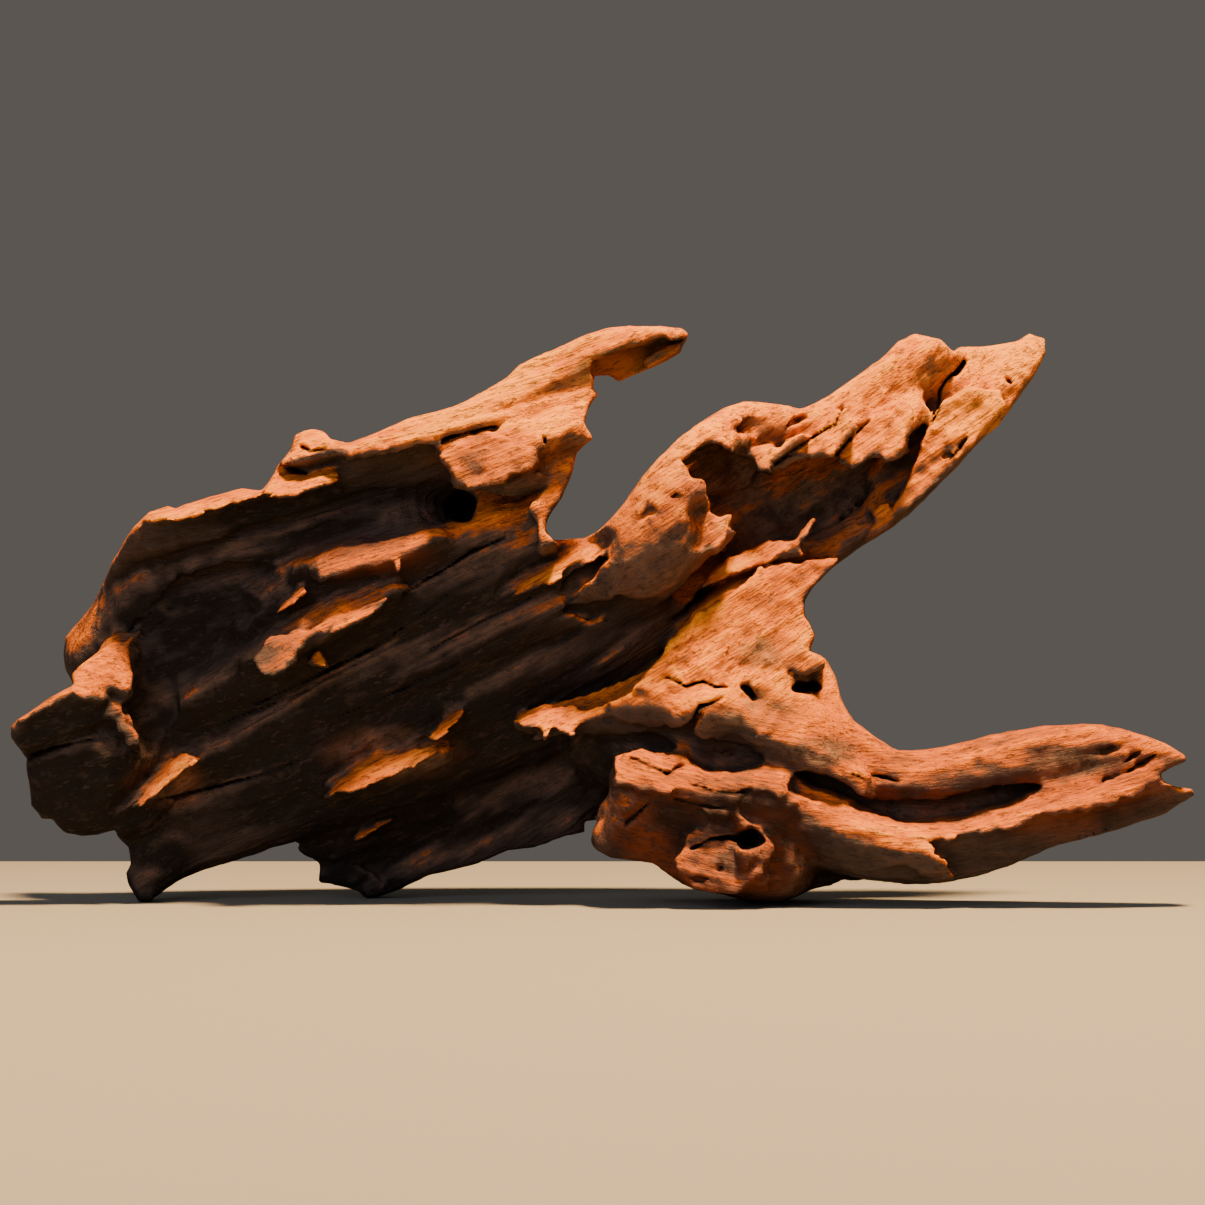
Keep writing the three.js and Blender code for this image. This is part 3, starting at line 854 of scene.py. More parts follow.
    def mesh(self) -> tuple[Array, Array]:
        """Meshes the wood and keeps its one connected surface.

        No operator on a few faces gives overhanging lips, holes and torn edges, so the surface is
        drawn by the volume mesher that comes with Blender.

        Returns:
            The vertices in mm and the triangles, facing outwards.
        """
        reach = 3 * self.grid.step
        volume = openvdb.FloatGrid(reach)
        volume.copyFromArray(np.clip(self.value, -reach, reach))
        points, triangles, quads = volume.convertToPolygons(0.0, ADAPTIVITY)
        halves = quads[:, [0, 1, 2]], quads[:, [0, 2, 3]]
        triangles = np.concatenate([triangles, *halves]).astype(np.int64)
        points = points.astype(np.float32) * self.grid.step + self.grid.low
        first, second, third = (points[triangles[:, corner]] for corner in range(3))
        if np.einsum("ij,ij->", first, np.cross(second, third)) < 0:
            triangles = triangles[:, ::-1]
        labels = self.labelled(len(points), triangles)
        largest = np.bincount(labels[triangles[:, 0]], minlength=len(points)).argmax()
        triangles = triangles[labels[triangles[:, 0]] == largest]
        used, renamed = np.unique(triangles, return_inverse=True)
        return points[used], renamed.reshape(-1, 3)

    @staticmethod
    def labelled(count: int, triangles: Array) -> Array:
        """The lowest vertex that each vertex is joined to."""
        labels = np.arange(count)
        edges = np.concatenate([triangles[:, [0, 1]], triangles[:, [1, 2]]])
        while True:
            lowest = np.minimum(labels[edges[:, 0]], labels[edges[:, 1]])
            before = labels.copy()
            np.minimum.at(labels, edges[:, 0], lowest)
            np.minimum.at(labels, edges[:, 1], lowest)
            labels = labels[labels]
            if np.array_equal(before, labels):
                return labels

    def crowding(self, radius: float) -> Array:
        """How much of the space round each coarse sample is wood, from nought to one."""
        full = (self.value[::2, ::2, ::2] < 0).astype(np.float32)
        reach = max(int(radius / self.coarse.step), 1)
        for _ in range(2):
            for axis in range(3):
                nought = np.zeros_like(np.take(full, [0], axis))
                padded = np.concatenate([nought, np.cumsum(full, axis, dtype=np.float32)], axis)
                size = full.shape[axis]
                low = np.clip(np.arange(size) - reach, 0, size)
                high = np.clip(np.arange(size) + reach + 1, 0, size)
                full = (np.take(padded, high, axis) - np.take(padded, low, axis)) / (2 * reach + 1)
        return full


class Silhouette:
    """The outline seen from the front, as a table of distances, all in mm."""

    STEP = 0.5
    LOW = (-245.0, -14.0)
    HIGH = (245.0, 232.0)
    TEAR_DEPTH = 0.45
    TEAR_SIZE = 3.4

    def __init__(self) -> None:
        """Fills the table."""
        x = np.arange(self.LOW[0], self.HIGH[0], self.STEP, dtype=np.float32)
        z = np.arange(self.LOW[1], self.HIGH[1], self.STEP, dtype=np.float32)
        self.table = polygon_distance(x[:, None], z[None, :], OUTLINE)

    def distance(self, points: Array, tear: Noise) -> Array:
        """Signed distance from places in mm to the outline, below zero inside it."""
        x, z, scale = flatten(*points.T)
        low_x, share_x = below(x, self.LOW[0], self.STEP, self.table.shape[0])
        low_z, share_z = below(z, self.LOW[1], self.STEP, self.table.shape[1])
        away = between(self.table, low_x, low_z, share_x, share_z) * scale
        near = np.flatnonzero(np.abs(away) < OUTLINE_BLEND + 1)
        rag = uneven(tear, x[near], points[near, 1] / 3, z[near], self.TEAR_SIZE)
        away[near] += self.TEAR_DEPTH * rag
        return away.astype(np.float32)


@dataclass
class Limb:
    """One part of the driftwood between its forks, with its wood, its hollows and its damage."""

    name: str
    runs: tuple[Run, ...]
    hollows: tuple[Run, ...] = ()
    splinters: tuple[Run, ...] = ()
    shelves: tuple[Shelf, ...] = ()
    recesses: tuple[Recess, ...] = ()
    cracks: tuple[Crack, ...] = ()
    pits: tuple[Pit, ...] = ()
    planes: tuple[Plane, ...] = ()
    cuts: tuple[Plane, ...] = ()

    def part(self, rest: Piece) -> Piece:
        """Takes this limb off the rest of the wood.

        Args:
            rest: what is left of the wood, which loses the limb.

        Returns:
            The limb.
        """
        cutter = region(self.planes)
        limb = cut(rest, cutter, Keep.INSIDE, self.name)
        remainder = cut(rest, cutter, Keep.OUTSIDE, rest.name)
        discard(cutter)
        old = rest.data
        rest.data = remainder.data
        bpy.data.objects.remove(remainder)
        bpy.data.meshes.remove(old)
        return limb

    def split(self, limb: Piece) -> list[Piece]:
        """Parts a large limb by its own cuts, so that each piece stays light."""
        pieces = []
        for number, plane in enumerate(self.cuts):
            cutter = region((plane,))
            pieces.append(cut(limb, cutter, Keep.INSIDE, f"{self.name}_wood_{number + 1}"))
            rest = cut(limb, cutter, Keep.OUTSIDE, "rest")
            discard(cutter)
            discard(limb)
            limb = rest
        limb.name = f"{self.name}_wood_{len(self.cuts) + 1}" if self.cuts else f"{self.name}_wood"
        return [*pieces, limb]


class Keep(Enum):
    """Which part of a piece a cut keeps."""

    INSIDE = "INTERSECT"
    OUTSIDE = "DIFFERENCE"


def new_object(name: str, points: Array, triangles: Array) -> Piece:
    """Makes an object from meshed wood.

    Args:
        name: the object's name.
        points: vertices in metres of the row frame.
        triangles: three vertex numbers a row.

    Returns:
        The object, linked to the scene.
    """
    mesh = bpy.data.meshes.new(name)
    mesh.vertices.add(len(points))
    mesh.vertices.foreach_set("co", points.astype(np.float32).ravel())
    mesh.loops.add(triangles.size)
    mesh.loops.foreach_set("vertex_index", triangles.astype(np.int32).ravel())
    mesh.polygons.add(len(triangles))
    mesh.polygons.foreach_set("loop_start", np.arange(0, triangles.size, 3, dtype=np.int32))
    mesh.update(calc_edges=True)
    return link(name, mesh)


def link(name: str, data: bpy.types.ID) -> Piece:
    """Puts a mesh, a lamp or the camera into the scene as an object at the origin."""
    item = bpy.data.objects.new(name, data)
    bpy.context.scene.collection.objects.link(item)
    return item


def discard(item: Piece) -> None:
    """Removes a helper and its mesh."""
    mesh = item.data
    bpy.data.objects.remove(item)
    bpy.data.meshes.remove(mesh)


def region(planes: tuple[Plane, ...]) -> Piece:
    """A large block, in metres of the row frame, cut down to the kept side of every plane."""
    shape = bmesh.new()
    bmesh.ops.create_cube(shape, size=2.0)
    origin = Vector(SCULPT_ORIGIN)
    for plane in planes:
        normal = Vector(plane.normal)
        place = (normal * plane.offset + origin) * MM
        geometry = [*shape.verts, *shape.edges, *shape.faces]
        bmesh.ops.bisect_plane(
            shape, geom=geometry, plane_co=place, plane_no=-normal, clear_outer=True
        )
        bmesh.ops.holes_fill(shape, edges=shape.edges)
    bmesh.ops.recalc_face_normals(shape, faces=shape.faces)
    mesh = bpy.data.meshes.new("region")
    shape.to_mesh(mesh)
    shape.free()
    return link("region", mesh)


def in_sculpt(places: Array) -> Array:
    """Turns flat metres of the row frame to rows of millimetres of the sculpt."""
    return places.reshape(-1, 3) / MM - np.array(SCULPT_ORIGIN, np.float32)


def crisp(mesh: bpy.types.Mesh, planes: list[Plane]) -> None:
    """Marks the rims of flat cuts as sharp, so that the shading runs on across the joint.

    Args:
        mesh: a piece's mesh, in metres of the row frame.
        planes: every flat cut of the wood, in mm of the sculpt.
    """
    count = len(mesh.polygons)
    centres, normals = np.empty(count * 3, np.float32), np.empty(count * 3, np.float32)
    mesh.polygons.foreach_get("center", centres)
    mesh.polygons.foreach_get("normal", normals)
    centres, normals = in_sculpt(centres), normals.reshape(-1, 3)
    flat = np.zeros(count, bool)
    for plane in planes:
        axis = np.array(plane.normal, np.float32)
        on_cut = np.abs(centres @ axis - plane.offset) < CUT_NEAR
        flat |= on_cut & (np.abs(normals @ axis) > CUT_FLAT)
    sides = np.empty(count, np.int32)
    mesh.polygons.foreach_get("loop_total", sides)
    edges = np.empty(len(mesh.loops), np.int32)
    mesh.loops.foreach_get("edge_index", edges)
    capped = np.repeat(flat, sides)
    total = len(mesh.edges)
    rims = np.bincount(edges[capped], minlength=total) > 0
    rims &= np.bincount(edges[~capped], minlength=total) > 0
    sharp = np.empty(total, bool)
    mesh.edges.foreach_get("use_edge_sharp", sharp)
    mesh.edges.foreach_set("use_edge_sharp", sharp | rims)


def cut(item: Piece, cutter: Piece, keep: Keep, name: str) -> Piece:
    """Cuts a copy of a piece with a closed block.

    Args:
        item: the piece, which is left as it is.
        cutter: the block.
        keep: which part stays.
        name: the name of the new piece.

    Returns:
        The new piece, closed along the cut.
    """
    modifier = item.modifiers.new("cut", "BOOLEAN")
    modifier.operation = keep.value
    modifier.solver = "MANIFOLD"
    modifier.object = cutter
    depsgraph = bpy.context.evaluated_depsgraph_get()
    mesh = bpy.data.meshes.new_from_object(item.evaluated_get(depsgraph))
    item.modifiers.remove(modifier)
    mesh.name = name
    return link(name, mesh)


@dataclass(frozen=True)
class Tint:
    """A patch of the wood seen at x and z, painted lighter or darker, which is painted light or
    painted shade in many patches, or washed with another hue.
    """

    place: tuple[float, float]
    size: tuple[float, float]
    light: float = 0.0
    grey: float = 0.0
    red: float = 0.0
    yellow: float = 0.0


ARM_LINE = Plane.seen((-24, 131), (81, 119))
BASE_LINE = Plane.plan((8, 25), (-6, -30))


@dataclass
class LeftStump(Limb):
    """The broken stump at the far left, with a split across its front."""

    name: str = "left_stump"
    runs: tuple[Run, ...] = (
        Run("stump", ((-210, -16, 56, 15, 15), (-193, -16, 54, 20, 18), (-178, -2, 54, 22, 19))),
        Run("stump_lower", ((-210, -12, 42, 11, 13), (-194, -10, 37, 13, 15),
            (-180, 0, 39, 16, 16))),
        Run("stump_top", ((-218, -33, 65, 8, 9), (-202, -33, 72, 8, 12), (-186, -26, 81, 12, 16),
            (-181, -10, 94, 8, 14))),
    )
    recesses: tuple[Recess, ...] = (
        Recess("beside_stump", ((-176, 104), (-181, 97), (-180, 84), (-180, 78), (-184, 74),
            (-177, 63), (-178, 57), (-173, 52), (-164, 58), (-161, 70), (-161, 81), (-164, 94),
            (-169, 102)), -20, -14, -80, 0, 0.9, 6),
        Recess("stump_front", ((-229, 67), (-220, 70), (-202, 79), (-185, 74), (-189, 71),
            (-182, 65), (-178, 50), (-179, 43), (-184, 33), (-192, 24), (-207, 23), (-222, 33),
            (-229, 54)), -41, -22, -82, 12, 1, 0),
    )
    shelves: tuple[Shelf, ...] = (
        Shelf("stump_top", ((-202, 79.5), (-184, 98), (-175.5, 104.5), (-181.5, 97.5), (-180, 85),
            (-180.5, 78.5), (-185, 74.5)), -18, -44, 22, -30),
        Shelf("stump_torn_edge", ((-190.5, 73), (-187, 75.5), (-183.5, 73.5), (-177, 63.5),
            (-177.5, 57.5), (-180.5, 59.5), (-183, 64), (-189.5, 69.5)), -33, -38, 14, 0, 2.2),
    )
    cracks: tuple[Crack, ...] = (
        Crack("stump_split", ((-221, 54.3, 1.5), (-213, 57.3, 1.1), (-203.4, 60.4, 0.8),
            (-193.9, 62.3, 0.3)), 8),
    )
    planes: tuple[Plane, ...] = (
        Plane.plan((-173, -30), (-214, 20)),
        Plane.seen((-150, 108), (-260, 108)),
    )


@dataclass
class Horn(Limb):
    """The hooked tongue on the slab's top edge, hollow under its tip."""

    name: str = "horn"
    runs: tuple[Run, ...] = (
        Run("horn", ((-21, -30, 189, 22, 18), (-5, -32, 199, 18, 16), (9, -33, 207, 12, 14),
            (22, -33, 210, 9, 12), (33, -33, 212, 5, 8))),
    )
    hollows: tuple[Run, ...] = (
        Run("horn_hollow", ((1, -50, 199, 3, 8), (14, -52, 201, 4, 9), (24, -50, 205, 2, 6))),
    )
    recesses: tuple[Recess, ...] = (
        Recess("under_horn_tip", ((-4, 208), (6, 210), (16, 214), (21, 215), (23, 216), (26, 215),
            (30, 216), (32, 216), (30, 213), (25, 212), (17, 208), (16, 202), (12, 199), (6, 197),
            (2, 199), (-5, 200)), -31, -23, -75, 12),
    )
    shelves: tuple[Shelf, ...] = (
        Shelf("horn_lower_lip", ((16, 206.5), (21.5, 210.5), (27.5, 213), (29, 211.5), (25.5, 208),
            (21.5, 206.5), (17.5, 205)), -35, -42, 8, 28, 0.5, 2),
    )
    planes: tuple[Plane, ...] = (
        Plane.seen((-28, 209), (-4, 175)),
        Plane.seen((-5, 165), (60, 203)),
    )


@dataclass
class UpperArm(Limb):
    """Shoulder, flaky sheet over a long hollow, keel and end lobe."""

    name: str = "upper_arm"
    runs: tuple[Run, ...] = (
        Run("shoulder", ((-2, -34, 122, 10, 16), (14, -38, 131, 19, 22), (29, -38, 149, 23, 24),
            (37, -28, 167, 18, 24), (56, -14, 180, 10, 18))),
        Run("arm_sheet", ((37, -22, 175, 11, 18), (59, -16, 180, 11, 18), (82, -12, 181, 13, 16),
            (105, -6, 196, 18, 14), (123, -2, 208, 13, 12))),
        Run("arm_sheet_low", ((64, -20, 172, 7, 9), (89, -18, 176, 9, 9), (114, -14, 181, 12, 9))),
        Run("arm_back", ((38, 18, 145, 24, 16), (69, 22, 153, 24, 15), (100, 26, 167, 22, 14),
            (128, 28, 185, 17, 12))),
        Run("arm_bridge", ((115, 12, 160, 13, 11), (129, 10, 183, 17, 12), (134, 6, 196, 14, 12),
            (140, 10, 205, 12, 11))),
        Run("arm_keel", ((55, 10, 119, 13, 18), (84, 12, 131, 10, 16), (107, 14, 145, 9, 14),
            (127, 16, 160, 9, 13), (149, 20, 180, 9, 11))),
        Run("arm_end", ((110, 2, 149, 8, 9), (128, 6, 172, 13, 12), (147, 10, 194, 17, 12),
            (162, 14, 207, 11, 9), (173, 18, 219, 6, 6))),
    )
    hollows: tuple[Run, ...] = (
        Run("arm_hollow", ((37, -42, 162, 7, 12), (52, -28, 159, 9, 20), (74, -18, 156, 11, 22),
            (98, -12, 159, 10, 18), (111, -8, 165, 6, 12))),
    )
    recesses: tuple[Recess, ...] = (
        Recess("arm_hollow_left", ((30, 169), (36, 174), (44, 176), (49, 172), (56, 171), (59, 173),
            (60, 165), (59, 154), (54, 142), (49, 141), (48, 146), (42, 146), (39, 160), (33, 164)),
            -1, -1, -78, 30, 1.2),
        Recess("arm_hollow_mouth", ((30, 169), (36, 174), (44, 176), (49, 172), (56, 171),
            (59, 173), (58, 169), (64, 166), (70, 167), (79, 170), (88, 171), (90, 167), (96, 166),
            (103, 171), (106, 170), (109, 168), (113, 169), (117, 173), (116, 177), (119, 181),
            (122, 183), (124, 182), (120, 167), (112, 151), (110, 152), (106, 152), (103, 149),
            (104, 145), (98, 144), (91, 146), (81, 146), (49, 141), (48, 146), (42, 146), (39, 160),
            (33, 164)), 8, 2, -78, 30, 1.3),
        Recess("lobe_notch", ((133, 202), (136, 206), (139, 209), (139, 205), (137, 202),
            (134, 200)), 4, 4, -60, 30),
        Recess("under_spur", ((37, 119), (68, 130), (80, 132), (85, 131), (80, 130), (68, 128),
            (60, 126), (49, 116), (30, 104), (26, 107)), -8, -18, -80, 35, 0.9, 5),
    )
    shelves: tuple[Shelf, ...] = (
        Shelf("spur_flake", ((37, 120), (41, 126), (50.5, 132), (64.5, 138), (65, 137), (74, 138),
            (81, 146.5), (79, 140.5), (75, 137.5), (77, 132.5), (68, 130.5), (50.5, 125),
            (39, 120)), -27, -40, 10, 32, 1.1),
        Shelf("shoulder_flake", ((39, 149), (43.5, 147.5), (48.5, 147), (46.5, 138.5),
            (43.5, 134.5), (39.5, 135.5)), -46, -52, 10, 20, 1.2),
        Shelf("sheet_body", ((52.5, 172.5), (63, 169.5), (75.5, 175), (90, 172.5), (101.5, 173.5),
            (115, 178), (118, 188.5), (106, 192), (90.5, 190.5), (75.5, 183.5), (60, 179.5)), -20,
            -18, 34, 20, 0.5, 0),
        Shelf("sheet_flake_left", ((51.5, 172.5), (61, 174.5), (67, 174), (75.5, 179.5),
            (81, 177.5), (74, 174), (64.5, 166), (60, 165.5), (58, 169), (55.5, 171)), -35, -39, 8,
            20, 1.2, 1),
        Shelf("sheet_flake_middle", ((64.5, 166), (74, 174.5), (82.5, 179), (89, 186.5),
            (93, 188.5), (97.5, 181), (93, 175), (88, 170.5), (79, 170.5), (74.5, 169),
            (69.5, 166)), -31, -37, 8, 38, 1.2, 1),
        Shelf("sheet_flake_right", ((89.5, 170.5), (102, 184), (110, 188), (118, 190.5), (120, 182),
            (116.5, 177.5), (117, 173), (113, 169), (108.5, 168), (106.5, 170.5), (103.5, 171),
            (95.5, 166), (90.5, 167.5)), -26, -33, 8, 38, 1.2, 1),
        Shelf("lobe_face", ((125, 181), (120, 167.5), (111.5, 151.5), (110, 151.5), (109.5, 153),
            (105.5, 151.5), (103.5, 148.5), (103.5, 145), (101.5, 140.5), (106.5, 142),
            (124, 156.5), (135.5, 168), (153.5, 189.5), (152, 195), (138.5, 196.5), (130.5, 191)),
            -15, -19, 14, 50, 0.9),
        Shelf("arm_back", ((26.5, 163), (33.5, 176.5), (43.5, 180.5), (55.5, 177.5), (60, 169),
            (55.5, 159), (45, 155), (33.5, 156.5)), 0, 0, 9, 0, 0.5, 0),
    )
    cracks: tuple[Crack, ...] = (
        Crack("sheet_split_left", ((91.9, 188.4, 0.3), (88.8, 182.6, 0.6), (82.3, 178.8, 0.7),
            (77, 175.4, 0.6), (71.6, 171.9, 0.5), (65.5, 167.7, 0.3)), 5),
        Crack("sheet_split_right", ((101.8, 183.8, 0.3), (97.6, 179.6, 0.5), (93, 175, 0.6),
            (89.2, 170.8, 0.5)), 5),
        Crack("sheet_fine", ((75.4, 171.9, 0.3), (69.7, 169.6, 0.6), (64.4, 167.7, 0.3)), 3),
        Crack("lobe_crease", ((133.5, 201.7, 0.8), (131.2, 199.4, 0.7), (128.9, 195.6, 0.6),
            (128.5, 187.6, 0.5), (125.9, 183.4, 0.5)), 3),
        Crack("lobe_slot", ((132.7, 169.3, 0.5), (136.6, 173.8, 1), (139.2, 177.3, 0.5)), 4, -40,
            -10),
    )
    pits: tuple[Pit, ...] = (
        Pit("sheet_dimple", (59.4, 181.9), (10.3, 3.8), 8, 1.2),
        Pit("sheet_slot", (74.7, 184.2), (3.4, 1.1), 10, 5),
        Pit("lobe_pit", (155.3, 198.7), (2.3, 1.3), -40, 3, -60, 40),
        Pit("lobe_pit_low", (131.2, 170.8), (1.7, 1.3), 20, 3, -60, 40),
        Pit("shoulder_pit_high", (27.3, 155.1), (2.3, 1.3), 30, 3),
        Pit("shoulder_pit_low", (17.4, 148.2), (3.4, 1.5), 35, 3),
    )
    planes: tuple[Plane, ...] = (
        ARM_LINE,
        Plane.seen((37, 203), (-22, 136)),
    )


@dataclass
class LowerArm(Limb):
    """The low arm with its groove and split tip."""

    name: str = "lower_arm"
    runs: tuple[Run, ...] = (
        Run("arm_top", ((86, -16, 57, 15, 20), (112, -22, 47, 14, 20), (141, -27, 51, 14, 20),
            (170, -31, 57, 13, 18), (192, -34, 58, 11, 16), (220, -38, 53, 10, 12))),
        Run("arm_below", ((59, -26, 42, 13, 22), (88, -30, 28, 15, 24), (122, -33, 20, 12, 24),
            (151, -35, 26, 11, 22), (180, -37, 37, 11, 19), (202, -39, 42, 9, 13),
            (222, -41, 42, 8, 10))),
        Run("arm_core", ((75, 0, 28, 20, 24), (113, -12, 29, 18, 22), (149, -22, 37, 17, 22),
            (185, -32, 45, 15, 18), (214, -38, 48, 12, 13))),
    )
    hollows: tuple[Run, ...] = (
        Run("arm_groove", ((72, -56, 45, 5, 12), (97, -60, 37, 7, 14), (129, -64, 36, 7, 14),
            (155, -62, 42, 4, 9))),
    )
    recesses: tuple[Recess, ...] = (
        Recess("groove", ((73, 50), (77, 51), (85, 49), (93, 46), (94, 44), (101, 40), (121, 39),
            (162, 47), (169, 45), (168, 41), (158, 36), (143, 31), (130, 28), (121, 27), (112, 28),
            (103, 31), (96, 34), (95, 36), (82, 41), (74, 46)), -26, -34, -82, 0, 1, 3),
        Recess("arm_underside", ((123, 23), (127, 21), (126, 18), (131, 16), (130, 13), (135, 10),
            (138, 5), (148, 8), (174, 19), (195, 24), (206, 28), (218, 32), (228, 39), (225, 44),
            (219, 43), (215, 46), (213, 49), (205, 41), (196, 38), (164, 33), (158, 29), (152, 28)),
            -53, -36, -82, 15, 2),
        Recess("arm_foot_underside", ((77, 14), (87, 14), (101, 12), (120, 14), (121, 11),
            (130, 10), (130, 5), (109, 4), (85, 4), (75, 2), (72, 6)), -48, -40, -82, 0, 1.8, 3),
    )
    shelves: tuple[Shelf, ...] = (
        Shelf("arm_tip_splinter", ((213, 47), (216, 46.5), (220, 43), (225, 43.5), (226, 40),
            (222, 39), (217, 42)), -38, -42, 7, -30, 0.4, 0),
    )
    cracks: tuple[Crack, ...] = (
        Crack("arm_top_left", ((94.5, 49.3, 0.4), (97.6, 47.8, 0.9), (100.7, 46.6, 0.4)), 5),
        Crack("arm_top_right", ((103.3, 48.2, 0.4), (107.9, 47.8, 1), (113.3, 45.9, 0.3)), 5),
    )
    pits: tuple[Pit, ...] = (
        Pit("tip_slot_high", (192.3, 58.1), (7.6, 1.7), 10, 4),
        Pit("tip_slot_middle", (202.3, 55.4), (4.2, 1.1), 33, 4),
        Pit("tip_slot_low", (205.3, 53.1), (10.3, 1.3), 31, 5),
        Pit("tip_slot_left", (193.1, 47.4), (6.5, 1.4), 25, 3),
    )
    planes: tuple[Plane, ...] = (
        ARM_LINE.flipped(),
        Plane.seen((95, 71), (77, 3)),
    )


@dataclass
class Knuckle(Limb):
    """The rounded end that the wood rests on, with a knot hole."""

    name: str = "knuckle"
    runs: tuple[Run, ...] = (
        Run("knuckle", ((7, -30, 26, 12, 18), (21, -36, 31, 20, 23), (43, -38, 24, 21, 25),
            (64, -28, 16, 15, 22))),
        Run("knuckle_top", ((12, -34, 48, 9, 15), (32, -38, 43, 14, 20), (62, -36, 40, 14, 22))),
        Run("knuckle_sole", ((33, 0, 13, 12, 26), (55, 4, 6, 14, 26), (76, 4, 13, 13, 24))),
    )
    recesses: tuple[Recess, ...] = (
        Recess("knuckle_left_face", ((10, 43), (17, 44), (42, 33), (33, 19), (30, 8), (14, 8),
            (-1, 14), (-7, 24), (-2, 33), (4, 41)), -55, -40, -82, 10, 1.2, 0),
        Recess("knuckle_trench", ((52, 39), (54, 42), (62, 43), (70, 39), (76, 19), (80, 13),
            (78, -1), (64, -1), (63, 12), (65, 20), (63, 24), (60, 28), (55, 31), (52, 34)), -57,
            -44, -82, 5, 1.2),
    )
    shelves: tuple[Shelf, ...] = (
        Shelf("knuckle_chin", ((28, 16), (30, 20.5), (35.5, 28), (41, 30), (48.5, 31), (51.5, 28.5),
            (50, 19), (51, 12.5), (56, 11.5), (60.5, 15.5), (61.5, 11.5), (55, 7), (52, 2.5),
            (39, 3), (34, 6), (28, 11.5)), -53, -60, 24, 10, 1.4, 3),
        Shelf("knuckle_top", ((5, 55.5), (14.5, 57.5), (31, 55.5), (38, 50.5), (34, 43), (22, 41.5),
            (5, 45)), -50, -61, 24, -10, 1.2),
    )
    cracks: tuple[Crack, ...] = (
        Crack("knuckle_top", ((10.5, 55, 0.4), (14.3, 53.9, 0.6), (20.1, 51.2, 0.6),
            (24.6, 48.9, 0.7), (30, 52.4, 0.4)), 5),
        Crack("knuckle_left", ((18.1, 38.2, 0.3), (14.3, 34.8, 0.8), (11.3, 32.1, 0.8),
            (8.6, 29.8, 0.3)), 6),
        Crack("hole_tail", ((33.8, 20.3, 0.3), (41.4, 24.1, 0.7), (48.7, 24.5, 1.1),
            (51.8, 24.1, 1.5)), 12),
        Crack("knuckle_flow_high", ((32.7, 45.5, 0.3), (41.1, 42.8, 0.6), (50.6, 41.3, 0.6),
            (57.1, 43.2, 0.3)), 3),
        Crack("knuckle_flow_low", ((26.5, 40.5, 0.3), (33.4, 37.8, 0.6), (43, 35.9, 0.6),
            (50.6, 36.7, 0.3)), 3),
    )
    pits: tuple[Pit, ...] = (
        Pit("knot_hole", (56.3, 24.1), (6.3, 4), 0, 26),
        Pit("chin_pit", (45.6, 13), (1.5, 1.5), 0, 4),
        Pit("chin_pit_low", (38.8, 8.8), (3.4, 1.1), -15, 4),
    )
    planes: tuple[Plane, ...] = (
        Plane.seen((95, 54), (-7, 58)),
        BASE_LINE,
    )


@dataclass
class LowerPlate(Limb):
    """The dark plate behind and under the slab."""

    name: str = "lower_plate"
    runs: tuple[Run, ...] = (
        Run("plate_upper", ((-107, 36, 14, 8, 9), (-80, 34, 27, 13, 13), (-40, 31, 40, 17, 15),
            (-5, 27, 50, 17, 17))),
        Run("plate_lower", ((-94, 36, -2, 7, 8), (-82, 36, 8, 10, 11), (-48, 34, 20, 12, 13),
            (-14, 30, 32, 12, 14))),
        Run("plate_stub", ((-115, 26, 20, 5, 7), (-103, 28, 24, 10, 10), (-71, 24, 42, 14, 14))),
    )
    shelves: tuple[Shelf, ...] = (
        Shelf("plate_foot", ((-108.5, 9), (-88.5, 1.5), (-82.5, 4.5), (-87.5, 11.5), (-105.5, 19)),
            24, 24, 14, 0, 0.9, 0),
        Shelf("plate_sliver", ((-96.5, 23.5), (-92, 27.5), (-79.5, 34.5), (-80.5, 31.5),
            (-92.5, 24)), 14, 8, 9, 33, 0.9, 2),
    )
    planes: tuple[Plane, ...] = (
        Plane.seen((0, 66), (-116, 28)),
        Plane.seen((-128, 40), (-128, -10)),
        BASE_LINE.flipped(),
    )


